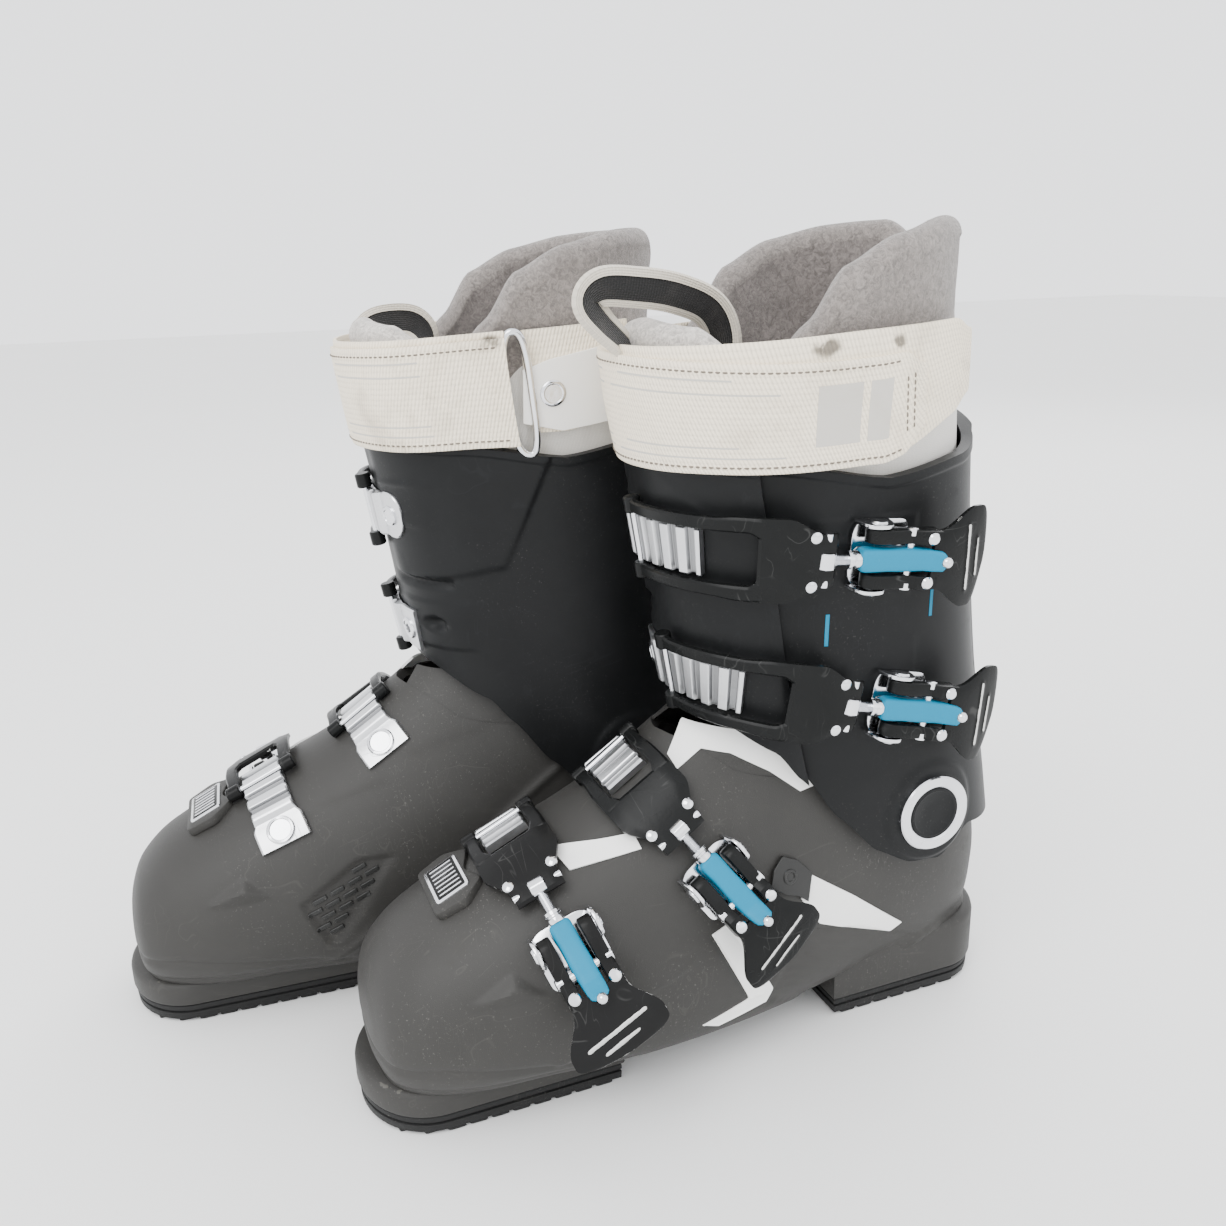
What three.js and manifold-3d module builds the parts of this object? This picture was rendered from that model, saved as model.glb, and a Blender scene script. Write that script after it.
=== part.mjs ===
// A pair of four-buckle alpine ski boots, standing side by side on their soles.
// Millimetres, +Z up, toes towards -Y, so the wearer's left boot is the one at +X.
// Each boot is drawn in its own frame: x out to the side of the foot (lateral), y back to the heel, z up,
// with y = 0 halfway along the sole and z = 0 on the ground. The right boot is the left one mirrored.
import * as THREE from "three";
import { mergeVertices } from "three/addons/utils/BufferGeometryUtils.js";
import Module from "manifold-3d";

// ---- Driving dimensions -------------------------------------------------------------------------------

const soleLength = 297; // toe to heel, over both lugs
const forefootWidth = 106; // outside width of the lower shell at the ball of the foot
const linerHeight = 338; // ground to the top of the liner's back
const toeLugWidth = 69;
const heelLugWidth = 68;
const soleThickness = 8;
const toeLugHeight = 20;
const heelLugHeight = 33;
const toeSoleLength = 105;
const heelSoleLength = 90;

const shellWall = 4.5;
const cuffWall = 4;
const linerFootWall = 6.5;
const linerShaftWall = 10;
const tongueWall = 9;
const strapThickness = 3.2;
const strapWidth = 44;
const pivotRadius = 6; // of the rivet that the cuff turns on

const seat = 0.5; // gap left between two pieces that rest on each other
const linerGap = 3.2; // between the lower shell and the liner's foot, where the shell bends
const shaftGap = 1.3; // between the cuff and the liner's shaft and tongue
const runningGap = 0.4; // beside and around every pin
const ladderGap = 0.7; // under a ladder, which bridges the hollow of the instep

const bootSpacing = 104.5; // between the two boots, across
const bootStagger = 90; // between the two boots, along
const toeOut = 1.85; // degrees that each boot turns out

const buckle = {
  bedWidth: 27, // over the two ears of the base
  bedThickness: 1.5,
  bedFront: 7,
  bedBack: 17,
  earHeight: 12,
  pinHeight: 7.5, // of the lever's rivets above the shell
  rivetRadius: 2,
  leverReach: 47, // from its rivets to its tip
  leverWidth: 40,
  leverSheet: 2.2,
  adjusterWidth: 9,
  adjusterHeight: 7.6,
  trunnionBack: 13, // of the adjuster's pin behind the lever's rivets
  trunnionHeight: 10,
  trunnionRadius: 1.7,
  linkForward: 20, // of the pin that joins the bail to the adjuster, in front of the lever's rivets
  linkHeight: 6.5,
  linkRadius: 1.6,
  bailWidth: 33,
  bailRail: 5,
  hookRadius: 1.3,
};

const ladder = { width: 19.5, plate: 1.9, tooth: 1.9, pitch: 7.5, rivetRadius: 4.6, tail: 16 };

// Each buckle's place: the form it is on, the section it runs along, and the angle of its lever's rivets.
// `reach` is the length along the boot from those rivets to the hooked tooth; `teeth` are counted past it
// towards the rivets (`before`) and away from them (`after`).
const buckles = [
  { name: "toe", on: "foot", section: 6, angle: 50, reach: 62, before: 1, after: 2 },
  { name: "instep", on: "foot", section: 8.1, angle: 47, reach: 68, before: 2, after: 1 },
  { name: "ankle", on: "shaft", section: 3.6, angle: 81, reach: 93, before: 4, after: 1 },
  { name: "calf", on: "shaft", section: 6, angle: 77, reach: 97, before: 4, after: 1 },
];

const colours = {
  shell: 0x3a3a38,
  cuff: 0x17181a,
  rubber: 0x141414,
  liner: 0x8b8784,
  strap: 0xe6e0d4,
  steel: 0xc9ccd0,
  lever: 0x101113,
  adjuster: 0x15a3bd,
};

// ---- The boot's form ----------------------------------------------------------------------------------

const along = soleLength / 297;
const across = forefootWidth / 106;
const upward = linerHeight / 338;
const degrees = THREE.MathUtils.degToRad;

// Closed cross-sections, each in a plane that holds the x direction. A row gives the section's front (or
// top) point y, z, its back (or bottom) point y, z, its lateral and medial half widths, where it is widest
// (a share of the way from back to front), and how square its front and back halves are.
const footRows = [
  [-143.5, 46, -143.5, 38, 1, 1, 0.46, 2.1, 2.2],
  [-141.8, 58, -142, 25, 20, 20, 0.46, 2.1, 2.3],
  [-136.5, 69, -137, 16, 33, 32, 0.44, 2.1, 2.5],
  [-126, 79, -124, 12.5, 42, 40, 0.42, 2.1, 2.7],
  [-112, 87, -103, 11.5, 48, 46, 0.4, 2.1, 2.8],
  [-95, 95.5, -75, 11.5, 52, 49, 0.4, 2.1, 2.8],
  [-78, 103, -44, 10.5, 54, 50.5, 0.4, 2.1, 3],
  [-55, 113.5, 4, 9.5, 53, 49.5, 0.42, 2.1, 3],
  [-32, 126.5, 48, 10, 50, 47, 0.45, 2.1, 2.8],
  [-18, 138, 85, 11, 45.5, 43.5, 0.48, 2.1, 2.5],
  [-5, 148, 118, 14, 43, 41.5, 0.48, 2.1, 2.5],
  [4, 156, 139, 28, 42, 41, 0.46, 2.1, 2.4],
  [8, 162, 145, 52, 42, 40.5, 0.45, 2.1, 2.3],
  [9, 168, 143.5, 74, 42.5, 41, 0.45, 2.1, 2.3],
  [9, 173, 135.5, 101, 42.5, 41, 0.45, 2.1, 2.3],
  [8, 180, 129, 135, 42.5, 41, 0.45, 2.1, 2.3],
  [5, 190, 126, 165, 42.5, 41, 0.45, 2.1, 2.3],
];
const shaftRows = [
  [26, 92, 148, 50, 51.5, 50, 0.46, 2.2, 2.4],
  [16, 116, 147, 76, 52, 50.5, 0.46, 2.2, 2.4],
  [7.5, 140, 143.5, 101, 52, 50.5, 0.46, 2.2, 2.4],
  [2, 160, 139, 128, 51.2, 49.7, 0.46, 2.2, 2.4],
  [-2, 180, 134, 156, 50.6, 49.4, 0.46, 2.2, 2.4],
  [-5, 202, 130, 186, 50.5, 49.5, 0.46, 2.2, 2.4],
  [-8.5, 226, 126.5, 217, 52, 50.5, 0.46, 2.2, 2.4],
  [-12.5, 250, 123.5, 247, 54, 52, 0.46, 2.2, 2.4],
  [-16.5, 274, 121, 277, 56, 54, 0.46, 2.2, 2.4],
  [-20, 300, 120, 308, 57.5, 56, 0.46, 2.2, 2.4],
  [-23, 330, 121, 345, 58, 57, 0.46, 2.2, 2.4],
];

// The smooth curve through evenly spaced values (Catmull-Rom), at t = 0 for the first.
function through(values, t) {
  const last = values.length - 1;
  const i = Math.min(Math.max(Math.floor(t), 0), last - 1);
  const f = t - i;
  const at = (k) => values[Math.min(Math.max(k, 0), last)];
  const [a, b, c, d] = [at(i - 1), at(i), at(i + 1), at(i + 2)];
  return b + 0.5 * f * (c - a + f * (2 * a - 5 * b + 4 * c - d + f * (3 * (b - c) + d - a)));
}

// A value that eases between [angle, value] stops as an angle goes round, the same on both sides.
function stops(list) {
  return (angle) => {
    const a = Math.abs((((angle + 180) % 360) + 360) % 360 - 180);
    const i = Math.min(Math.max(list.findIndex(([stop]) => stop > a) - 1, 0), list.length - 2);
    const k = list.at(-1)[0] <= a ? list.length - 2 : i;
    const [[a0, v0], [a1, v1]] = [list[k], list[k + 1]];
    const share = (a - a0) / (a1 - a0);
    return THREE.MathUtils.lerp(v0, v1, (THREE.MathUtils.smoothstep(a, a0, a1) + share) / 2);
  };
}

class Form {
  constructor(rows) {
    const sized = rows.map(([ty, tz, by, bz, lateral, medial, ...rest]) => [
      [ty * along, tz * upward, by * along, bz * upward],
      [lateral * across, medial * across, ...rest],
    ]);
    // Widths and heights are carried as squares, so that the toe closes round instead of pointed.
    this.columns = sized
      .map(([[ty, tz, by, bz], [lateral, medial, ...rest]]) => [
        (ty + by) / 2,
        (tz + bz) / 2,
        Math.atan2(by - ty, tz - bz),
        (ty - by) ** 2 + (tz - bz) ** 2,
        lateral ** 2,
        medial ** 2,
        ...rest,
      ])
      .reduce((columns, row) => row.map((value, k) => [...(columns[k] ?? []), value]), []);
  }

  // The point of section `v` at `angle` degrees: 0 at its front, 90 lateral, 180 at its back, -90 medial.
  point(v, angle) {
    const row = this.columns.map((column) => through(column, v));
    const [y, z, tilt, length2, lateral2, medial2, waist, front, back] = row;
    const length = Math.sqrt(Math.max(length2, 0.01));
    const c = Math.cos(degrees(angle));
    const s = Math.sin(degrees(angle));
    const width = Math.sqrt(Math.max(s > 0 ? lateral2 : medial2, 0.01));
    const depth = length * (c > 0 ? 1 - waist : waist);
    const power = c > 0 ? front : back;
    const radius = (Math.abs(c / depth) ** power + Math.abs(s / width) ** power) ** (-1 / power);
    const rise = radius * c + length * (waist - 0.5);
    return new THREE.Vector3(radius * s, y - rise * Math.sin(tilt), z + rise * Math.cos(tilt));
  }

  normal(v, angle) {
    const onward = this.point(v + 0.02, angle).sub(this.point(v - 0.02, angle));
    const around = this.point(v, angle + 0.6).sub(this.point(v, angle - 0.6));
    return around.cross(onward).normalize();
  }

  // The point `out` millimetres off the surface; a negative `out` is inside it.
  offset(v, angle, out) {
    const pole = this.point(0, 0).lerp(this.point(0, 180), 0.5);
    if (v < 0.05) return pole.add(new THREE.Vector3(0, -out, 0));
    return this.point(v, angle).addScaledVector(this.normal(v, angle), out);
  }
}

const foot = new Form(footRows);
const shaft = new Form(shaftRows);

// Edges that cross the sections, as the section they reach at an angle.
const shellTop = stops([[0, 9.4], [22, 9.9], [40, 11.6], [60, 13], [90, 13.8], [135, 14.3], [180, 14.4]]);
const linerFootTop = stops([[0, 8.6], [40, 10], [90, 11.6], [180, 12.9]]);
const cuffBottom = stops([
  [0, 2.85], [14, 2.8], [34, 2.3], [40, 1.85], [50, 1.1],
  [64, 0.62], [80, 0.5], [98, 0.62], [123, 1.3], [180, 1.65],
]);
const cuffTop = stops([[0, 7.5], [45, 7.3], [90, 7.05], [130, 7.25], [180, 7.7]]);
const linerTop = stops([
  [0, 8.4], [45, 8.5], [62, 9.1], [78, 9.6], [100, 9.85], [125, 9.95], [160, 9.9], [180, 9.5],
]);
const tongueTop = stops([[0, 9.25], [25, 9.15], [44, 8.6], [180, 8.6]]);

// The cuff is one sheet wrapped past itself at the front: its outer flap ends on the lateral side, and lies
// on the inner flap, which ends on the medial side.
const outerFlapEnd = 42;
const innerFlapEnd = -22;
const flapLift = cuffWall + seat * 2;
const cuffLift = (angle) =>
  flapLift * THREE.MathUtils.smoothstep(angle, innerFlapEnd - 34, innerFlapEnd - 4);

// How far a piece that crosses the outer flap's end stands off the form: the flap's lift, let down again
// towards `to` degrees on the lateral side.
const overFlap = (angle, to) => flapLift * (1 - THREE.MathUtils.smoothstep(angle, outerFlapEnd + 3, to));

const ankle = new THREE.Vector3(0, 91 * along, 105 * upward);

// ---- Turning forms into solids ------------------------------------------------------------------------

const wasm = await Module();
wasm.setup();

function solidOf(geometry) {
  const bare = geometry.index ? geometry.toNonIndexed() : geometry.clone();
  bare.deleteAttribute("normal");
  bare.deleteAttribute("uv");
  const merged = mergeVertices(bare, 1e-4);
  const vertProperties = Float32Array.from(merged.attributes.position.array);
  const triVerts = Uint32Array.from(merged.index.array);
  return new wasm.Manifold(new wasm.Mesh({ numProp: 3, vertProperties, triVerts }));
}

function geometryOf(solid) {
  const mesh = solid.getMesh();
  const geometry = new THREE.BufferGeometry();
  geometry.setAttribute("position", new THREE.BufferAttribute(Float32Array.from(mesh.vertProperties), 3));
  geometry.setIndex(new THREE.BufferAttribute(Uint32Array.from(mesh.triVerts), 1));
  return geometry;
}

const joined = (...geometries) => geometryOf(geometries.map(solidOf).reduce((a, b) => a.add(b)));
const cut = (geometry, ...tools) =>
  geometryOf(tools.map(solidOf).reduce((a, b) => a.subtract(b), solidOf(geometry)));

function faces(points, triangles) {
  const geometry = new THREE.BufferGeometry().setFromPoints(points);
  geometry.setIndex(triangles);
  return geometry;
}

// A closed slab between two grids of points: over(i, j) is its outside and under(i, j) its inside, for i in
// 0..columns and j in 0..rows, with i running so that over is seen from outside with j to its left.
function slab(columns, rows, over, under) {
  const points = [];
  const triangles = [];
  const index = (i, j, side) => (j * (columns + 1) + i) * 2 + side;
  for (let j = 0; j <= rows; j++) for (let i = 0; i <= columns; i++) points.push(over(i, j), under(i, j));
  const quad = (a, b, c, d) => triangles.push(a, b, c, a, c, d);
  for (let j = 0; j < rows; j++) {
    for (let i = 0; i < columns; i++) {
      quad(index(i, j, 0), index(i + 1, j, 0), index(i + 1, j + 1, 0), index(i, j + 1, 0));
      quad(index(i, j, 1), index(i, j + 1, 1), index(i + 1, j + 1, 1), index(i + 1, j, 1));
    }
    quad(index(0, j, 0), index(0, j + 1, 0), index(0, j + 1, 1), index(0, j, 1));
    quad(index(columns, j, 0), index(columns, j, 1), index(columns, j + 1, 1), index(columns, j + 1, 0));
  }
  for (let i = 0; i < columns; i++) {
    quad(index(i, 0, 0), index(i, 0, 1), index(i + 1, 0, 1), index(i + 1, 0, 0));
    quad(index(i, rows, 0), index(i + 1, rows, 0), index(i + 1, rows, 1), index(i, rows, 1));
  }
  return faces(points, triangles);
}

// The volume inside a form, from the toe up to the edge `top`, `out` off its surface.
function filled(form, top, out) {
  const [around, rows] = [20, 13];
  const points = [form.offset(0, 0, out)];
  for (let j = 1; j <= rows; j++) {
    for (let i = 0; i < around; i++) {
      const angle = (360 * i) / around;
      points.push(form.offset((top(angle) * j) / rows, angle, out));
    }
  }
  const rim = points.slice(-around);
  points.push(rim.reduce((sum, p) => sum.add(p), new THREE.Vector3()).divideScalar(around));
  const triangles = [];
  const index = (i, j) => 1 + (j - 1) * around + (i % around);
  for (let i = 0; i < around; i++) {
    triangles.push(0, index(i + 1, 1), index(i, 1));
    for (let j = 1; j < rows; j++) {
      triangles.push(index(i, j), index(i + 1, j + 1), index(i, j + 1));
      triangles.push(index(i, j), index(i + 1, j), index(i + 1, j + 1));
    }
    triangles.push(index(i, rows), index(i + 1, rows), points.length - 1);
  }
  return faces(points, triangles);
}

// A wall that follows a form between two angles (degrees) and two edges.
function wall(form, [from, to], [bottom, top], outside, thickness, columns, rows) {
  const at = (i, j, depth) => {
    const angle = THREE.MathUtils.lerp(from, to, i / columns);
    const v = THREE.MathUtils.lerp(bottom(angle), top(angle), j / rows);
    return form.offset(v, angle, outside(angle, v) - depth);
  };
  return slab(columns, rows, (i, j) => at(i, j, 0), (i, j) => at(i, j, thickness));
}

function box([x0, x1], [y0, y1], [z0, z1]) {
  const geometry = new THREE.BoxGeometry(x1 - x0, y1 - y0, z1 - z0);
  return geometry.translate((x0 + x1) / 2, (y0 + y1) / 2, (z0 + z1) / 2);
}

// A pin along z between z0 and z1, its centre at x, y.
function pin(radius, x, y, z0, z1, sides = 8) {
  const geometry = new THREE.CylinderGeometry(radius, radius, z1 - z0, sides);
  return geometry.rotateX(Math.PI / 2).translate(x, y, (z0 + z1) / 2);
}

// A flat outline in x, y raised from z0 to z1.
function raised(shape, z0, z1) {
  const options = { depth: z1 - z0, bevelEnabled: false, curveSegments: 5 };
  return new THREE.ExtrudeGeometry(shape, options).translate(0, 0, z0);
}

// ---- The line that a buckle's strap follows round the boot ----------------------------------------------

class Strap {
  constructor({ on, section, angle }) {
    this.form = on === "foot" ? foot : shaft;
    this.section = section;
    this.lift = on === "foot" ? () => 0 : (a) => overFlap(a, 72);
    const step = 1;
    this.stations = [{ angle, arc: 0 }];
    for (let a = angle - step, arc = 0; a > -100; a -= step) {
      arc += this.surface(a).distanceTo(this.surface(a + step));
      this.stations.push({ angle: a, arc });
    }
  }

  surface(angle) {
    return this.form.offset(this.section, angle, this.lift(angle));
  }

  // The frame `arc` millimetres along from the lever's rivets: x onward to the ladder, y out, z across.
  frame(arc) {
    const next = Math.max(this.stations.findIndex((s) => s.arc > arc), 1);
    const [a, b] = [this.stations[next - 1], this.stations[next]];
    const angle = THREE.MathUtils.mapLinear(arc, a.arc, b.arc, a.angle, b.angle);
    const onward = this.surface(angle - 1.5).sub(this.surface(angle + 1.5)).normalize();
    const sideways = onward.clone().cross(this.form.normal(this.section, angle)).normalize();
    const out = sideways.clone().cross(onward);
    return new THREE.Matrix4().makeBasis(onward, out, sideways).setPosition(this.surface(angle));
  }

  at(arc, out, sideways) {
    return new THREE.Vector3(0, out, sideways).applyMatrix4(this.frame(arc));
  }

  // A bar that follows the strap between two arcs: low(s) and high(s) are its heights off the boot.
  bar([from, to], [z0, z1], low, high, steps) {
    const arc = (j) => THREE.MathUtils.lerp(from, to, j / steps);
    const side = (i) => (i ? z1 : z0);
    return slab(
      1,
      steps,
      (i, j) => this.at(arc(j), high(arc(j)), side(i)),
      (i, j) => this.at(arc(j), low(arc(j)), side(i)),
    );
  }
}

// ---- Scene-graph helpers --------------------------------------------------------------------------------

function finish(colour, roughness = 0.5, metalness = 0) {
  return new THREE.MeshStandardMaterial({ color: colour, roughness, metalness });
}

const finishes = {
  shell: finish(colours.shell, 0.55),
  cuff: finish(colours.cuff, 0.45),
  rubber: finish(colours.rubber, 0.8),
  liner: finish(colours.liner, 0.95),
  strap: finish(colours.strap, 0.9),
  steel: finish(colours.steel, 0.2, 1),
  lever: finish(colours.lever, 0.3),
  adjuster: finish(colours.adjuster, 0.35),
};

// A mesh whose own frame is `frame`, with a geometry that is given in the boot's frame.
function hung(name, geometry, material, frame) {
  const mesh = new THREE.Mesh(geometry.applyMatrix4(frame.clone().invert()), material);
  frame.decompose(mesh.position, mesh.quaternion, mesh.scale);
  mesh.name = name;
  return mesh;
}

// A mesh with a geometry that is already in `frame`.
function placed(name, geometry, material, frame = new THREE.Matrix4()) {
  return hung(name, geometry.applyMatrix4(frame), material, frame);
}

// ---- Lower shell, soles and liner -----------------------------------------------------------------------

const toeEnd = -soleLength / 2;
const heelEnd = soleLength / 2;

// The toe's and the heel's outlines, seen from above, `inset` inside the lugs'.
function toeOutline(length, inset) {
  const half = toeLugWidth / 2 - inset;
  const round = 30;
  const shape = new THREE.Shape();
  shape.moveTo(half, toeEnd + length);
  shape.lineTo(-half, toeEnd + length);
  shape.lineTo(-half, toeEnd + round);
  shape.absellipse(0, toeEnd + round, half, round - inset, Math.PI, 2 * Math.PI);
  shape.closePath();
  return shape;
}

function heelOutline(length, inset) {
  const half = heelLugWidth / 2 - inset;
  const round = 27;
  const shape = new THREE.Shape();
  shape.moveTo(-half, heelEnd - length);
  shape.lineTo(half, heelEnd - length);
  shape.lineTo(half, heelEnd - round);
  shape.absellipse(0, heelEnd - round, half, round - inset, 0, Math.PI);
  shape.closePath();
  return shape;
}

function lowerShell() {
  const body = filled(foot, shellTop, 0);
  const cavity = filled(foot, (angle) => shellTop(angle) + 1.2, -shellWall);
  const toeLug = raised(toeOutline(toeSoleLength, 0), soleThickness + seat, toeLugHeight);
  const heelLug = raised(heelOutline(heelSoleLength, 0), soleThickness + seat, heelLugHeight);
  return cut(joined(body, toeLug, heelLug), cavity);
}

function linerFoot() {
  const out = -shellWall - linerGap;
  const body = filled(foot, linerFootTop, out);
  return cut(body, filled(foot, (angle) => linerFootTop(angle) + 1.2, out - linerFootWall));
}

// ---- Cuff and what it carries ---------------------------------------------------------------------------

function cuff() {
  const edges = [cuffBottom, cuffTop];
  const turn = [innerFlapEnd - 360, outerFlapEnd];
  return wall(shaft, turn, edges, (angle) => cuffLift(angle), cuffWall, 34, 6);
}

const heelRoom = stops([[0, 0], [50, 1.8], [90, 2.4], [120, 4.5], [180, 7]]);

// How far the liner lies inside the cuff's outside: under the lower shell at the ankle, then out to
// the cuff.
function linerInset(angle, v) {
  const inShell = 1 - THREE.MathUtils.smoothstep(v, 2.6, 5);
  return cuffWall + shaftGap + inShell * (shellWall + linerGap + 1.2 + heelRoom(angle));
}

function linerShaft() {
  const bottom = () => 2.2;
  const out = (angle, v) => -linerInset(angle, v);
  return wall(shaft, [50, 310], [bottom, linerTop], out, linerShaftWall, 14, 4);
}

function tongue() {
  const bottom = () => 2.45;
  return wall(shaft, [-44, 44], [bottom, tongueTop], () => -cuffWall - shaftGap, tongueWall, 5, 5);
}

// The closed power strap, doubled over itself across the front of the shin.
function powerStrap() {
  const low = stops([[0, 7.25], [85, 7.3], [128, 7.95], [180, 8]]);
  const top = 7.25 + strapWidth / shaft.point(8.5, 0).distanceTo(shaft.point(7.5, 0));
  const lift = (angle) => (angle < 0 ? cuffLift(angle) : overFlap(angle, 80));
  const off = (angle) => 2 * seat + strapThickness + lift(angle);
  return wall(shaft, [-70, 128], [low, () => top], off, strapThickness, 16, 2);
}

// A rivet with a wide round head outside the cuff, its shank through the cuff and the lower shell.
function pivotRivet(side) {
  const angle = side * 90;
  const head = { radius: side > 0 ? 17 : 15, height: 2.2 };
  const surface = Math.abs(shaft.point(1.95, angle).x);
  const shank = [Math.abs(foot.point(12.3, angle).x) - shellWall - 1, surface + 2 * seat];
  const profile = [
    [0, shank[0]],
    [pivotRadius, shank[0]],
    [pivotRadius, shank[1]],
    [head.radius, shank[1]],
    [head.radius - 1, shank[1] + head.height],
    [0, shank[1] + head.height],
  ].map(([r, h]) => new THREE.Vector2(r, h));
  const turned = new THREE.LatheGeometry(profile, 16).rotateX(Math.PI / 2).rotateY((side * Math.PI) / 2);
  return turned.translate(0, ankle.y, ankle.z);
}

// ---- Buckles --------------------------------------------------------------------------------------------
// Each piece is drawn in the frame of the pin it turns on: x onward to the ladder, y out, z along the pin.

const earInside = buckle.bedWidth / 2 - 1.5;
const armInside = buckle.adjusterWidth / 2 + runningGap + 1;
const armOutside = earInside - runningGap;

// The sheet-metal base, in the frame of the boot's surface under the lever's rivets.
function buckleBase() {
  const { bedWidth, bedThickness, bedFront, bedBack, earHeight, pinHeight, rivetRadius } = buckle;
  const half = bedWidth / 2;
  const bed = box([-bedBack, bedFront], [seat, seat + bedThickness], [-half, half]);
  const sides = [-1, 1].flatMap((side) => {
    const span = (a, b) => (side > 0 ? [a, b] : [-b, -a]);
    const ear = box([-6, 5], [seat, earHeight], span(earInside, half));
    const rivet = pin(rivetRadius, 0, pinHeight, ...span(armInside + 0.5, half - 0.2));
    return [ear, rivet];
  });
  return joined(bed, ...sides);
}

// The lever, in the frame of its rivets: two arms, the sheet that the hand pulls, and the adjuster's pin.
function lever() {
  const { rivetRadius, trunnionBack, trunnionRadius, leverReach, leverWidth, leverSheet } = buckle;
  const trunnionRise = buckle.trunnionHeight - buckle.pinHeight;
  const back = -trunnionBack - 10;
  const arms = [-1, 1].map((side) => {
    const span = side > 0 ? [armInside, armOutside] : [-armOutside, -armInside];
    const outline = new THREE.Shape();
    outline.absarc(0, 0, 4.4, -Math.PI / 2, Math.PI / 2);
    outline.lineTo(back, trunnionRise + 4.4);
    outline.lineTo(back, trunnionRise - 3.4);
    outline.closePath();
    return cut(raised(outline, ...span), pin(rivetRadius + runningGap, 0, 0, -20, 20));
  });
  const flare = (t) => THREE.MathUtils.smoothstep(t, 0.1, 0.7);
  const spread = (t) => THREE.MathUtils.lerp(armOutside, leverWidth / 2, flare(t));
  const height = (t) => trunnionRise + 4.4 - 6 * t * t;
  const reach = (t) => THREE.MathUtils.lerp(back + 2, -leverReach, t);
  const narrowing = (t) => 1 - 0.35 * THREE.MathUtils.smoothstep(t, 0.8, 1);
  const sheet = (low) => (i, j) => {
    const t = j / 4;
    return new THREE.Vector3(reach(t), height(t) - low, (1 - i) * spread(t) * narrowing(t));
  };
  const plate = slab(2, 4, sheet(0), sheet(leverSheet));
  return joined(...arms, plate, pin(trunnionRadius, -trunnionBack, trunnionRise, -armOutside, armOutside));
}

// The threaded adjuster: a square sleeve and a bolt that ends in an eye, in the frame of its pin.
function adjuster(length) {
  const { adjusterWidth, adjusterHeight, trunnionRadius, linkRadius } = buckle;
  const [halfWidth, halfHeight] = [adjusterWidth / 2, adjusterHeight / 2];
  const sleeve = box([-5, 20], [-halfHeight, halfHeight], [-halfWidth, halfWidth]);
  const bolt = new THREE.CylinderGeometry(2.2, 2.2, length - 20 + 1, 10).rotateZ(Math.PI / 2);
  bolt.translate((length + 19) / 2, 0, 0);
  const eye = pin(3.6, length, 0, -3.2, 3.2);
  const hole = pin(trunnionRadius + runningGap, 0, 0, -20, 20);
  return cut(joined(sleeve, bolt, eye), hole, pin(linkRadius + runningGap, length, 0, -20, 20));
}

// The bail that hooks the ladder, in the boot's frame: two rails, a bridge, a link pin and a hook pin.
function bail(strap, reach) {
  const { bailWidth, bailRail, linkForward, linkHeight, linkRadius, hookRadius } = buckle;
  const half = bailWidth / 2;
  const share = (s) => (s - linkForward) / (reach - linkForward);
  const low = (s) => THREE.MathUtils.lerp(linkHeight - 2.6, 2.2, share(s));
  const high = (s) => low(s) + 4.6;
  const steps = Math.round((reach - linkForward) / 12);
  const rails = [-1, 1].map((side) => {
    const span = side > 0 ? [half - bailRail, half] : [-half, bailRail - half];
    return strap.bar([linkForward - 4, reach + 3], span, low, high, steps);
  });
  const bridgeHigh = (s) => high(s) - 0.8;
  const bridge = strap.bar([linkForward + 7, linkForward + 19], [-half + 1, half - 1], low, bridgeHigh, 2);
  const link = pin(linkRadius, 0, linkHeight, -half + 1, half - 1).applyMatrix4(strap.frame(linkForward));
  const height = ladderGap + ladder.plate + seat + hookRadius;
  const hook = pin(hookRadius, 0, height, -half + 1, half - 1).applyMatrix4(strap.frame(reach));
  return joined(...rails, bridge, link, hook);
}

// The toothed ladder, in the boot's frame, with the head of the rivet that holds it.
function rack(strap, { reach, before, after }) {
  const { width, plate, tooth, pitch, tail, rivetRadius } = ladder;
  const from = reach - (before + 0.5) * pitch;
  const teethEnd = reach + (after + 0.5) * pitch;
  const count = before + after + 1;
  // Five stations to a tooth: its valley's two ends, its crest's two ends, and the next valley.
  const marks = [];
  for (let k = 0; k < count; k++) {
    const [start, end] = [from + k * pitch, from + (k + 1) * pitch];
    marks.push([start, tooth], [start + 1.1, tooth], [start + 2.9, 0], [end - 2.9, 0], [end - 1.1, tooth]);
  }
  marks.push([teethEnd, tooth], [teethEnd + 1.2, tooth]);
  for (let k = 0; k <= 3; k++) marks.push([THREE.MathUtils.lerp(teethEnd + 2.8, teethEnd + tail, k / 3), 0]);
  const side = (i) => (i ? width / 2 : -width / 2);
  const body = slab(
    1,
    marks.length - 1,
    (i, j) => strap.at(marks[j][0], ladderGap + plate + marks[j][1], side(i)),
    (i, j) => strap.at(marks[j][0], ladderGap, side(i)),
  );
  const head = new THREE.CylinderGeometry(rivetRadius - 0.6, rivetRadius, 3, 16).translate(0, plate + 1, 0);
  return joined(body, head.applyMatrix4(strap.frame(teethEnd + tail - rivetRadius - 1.5)));
}

// ---- One boot -------------------------------------------------------------------------------------------

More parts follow.
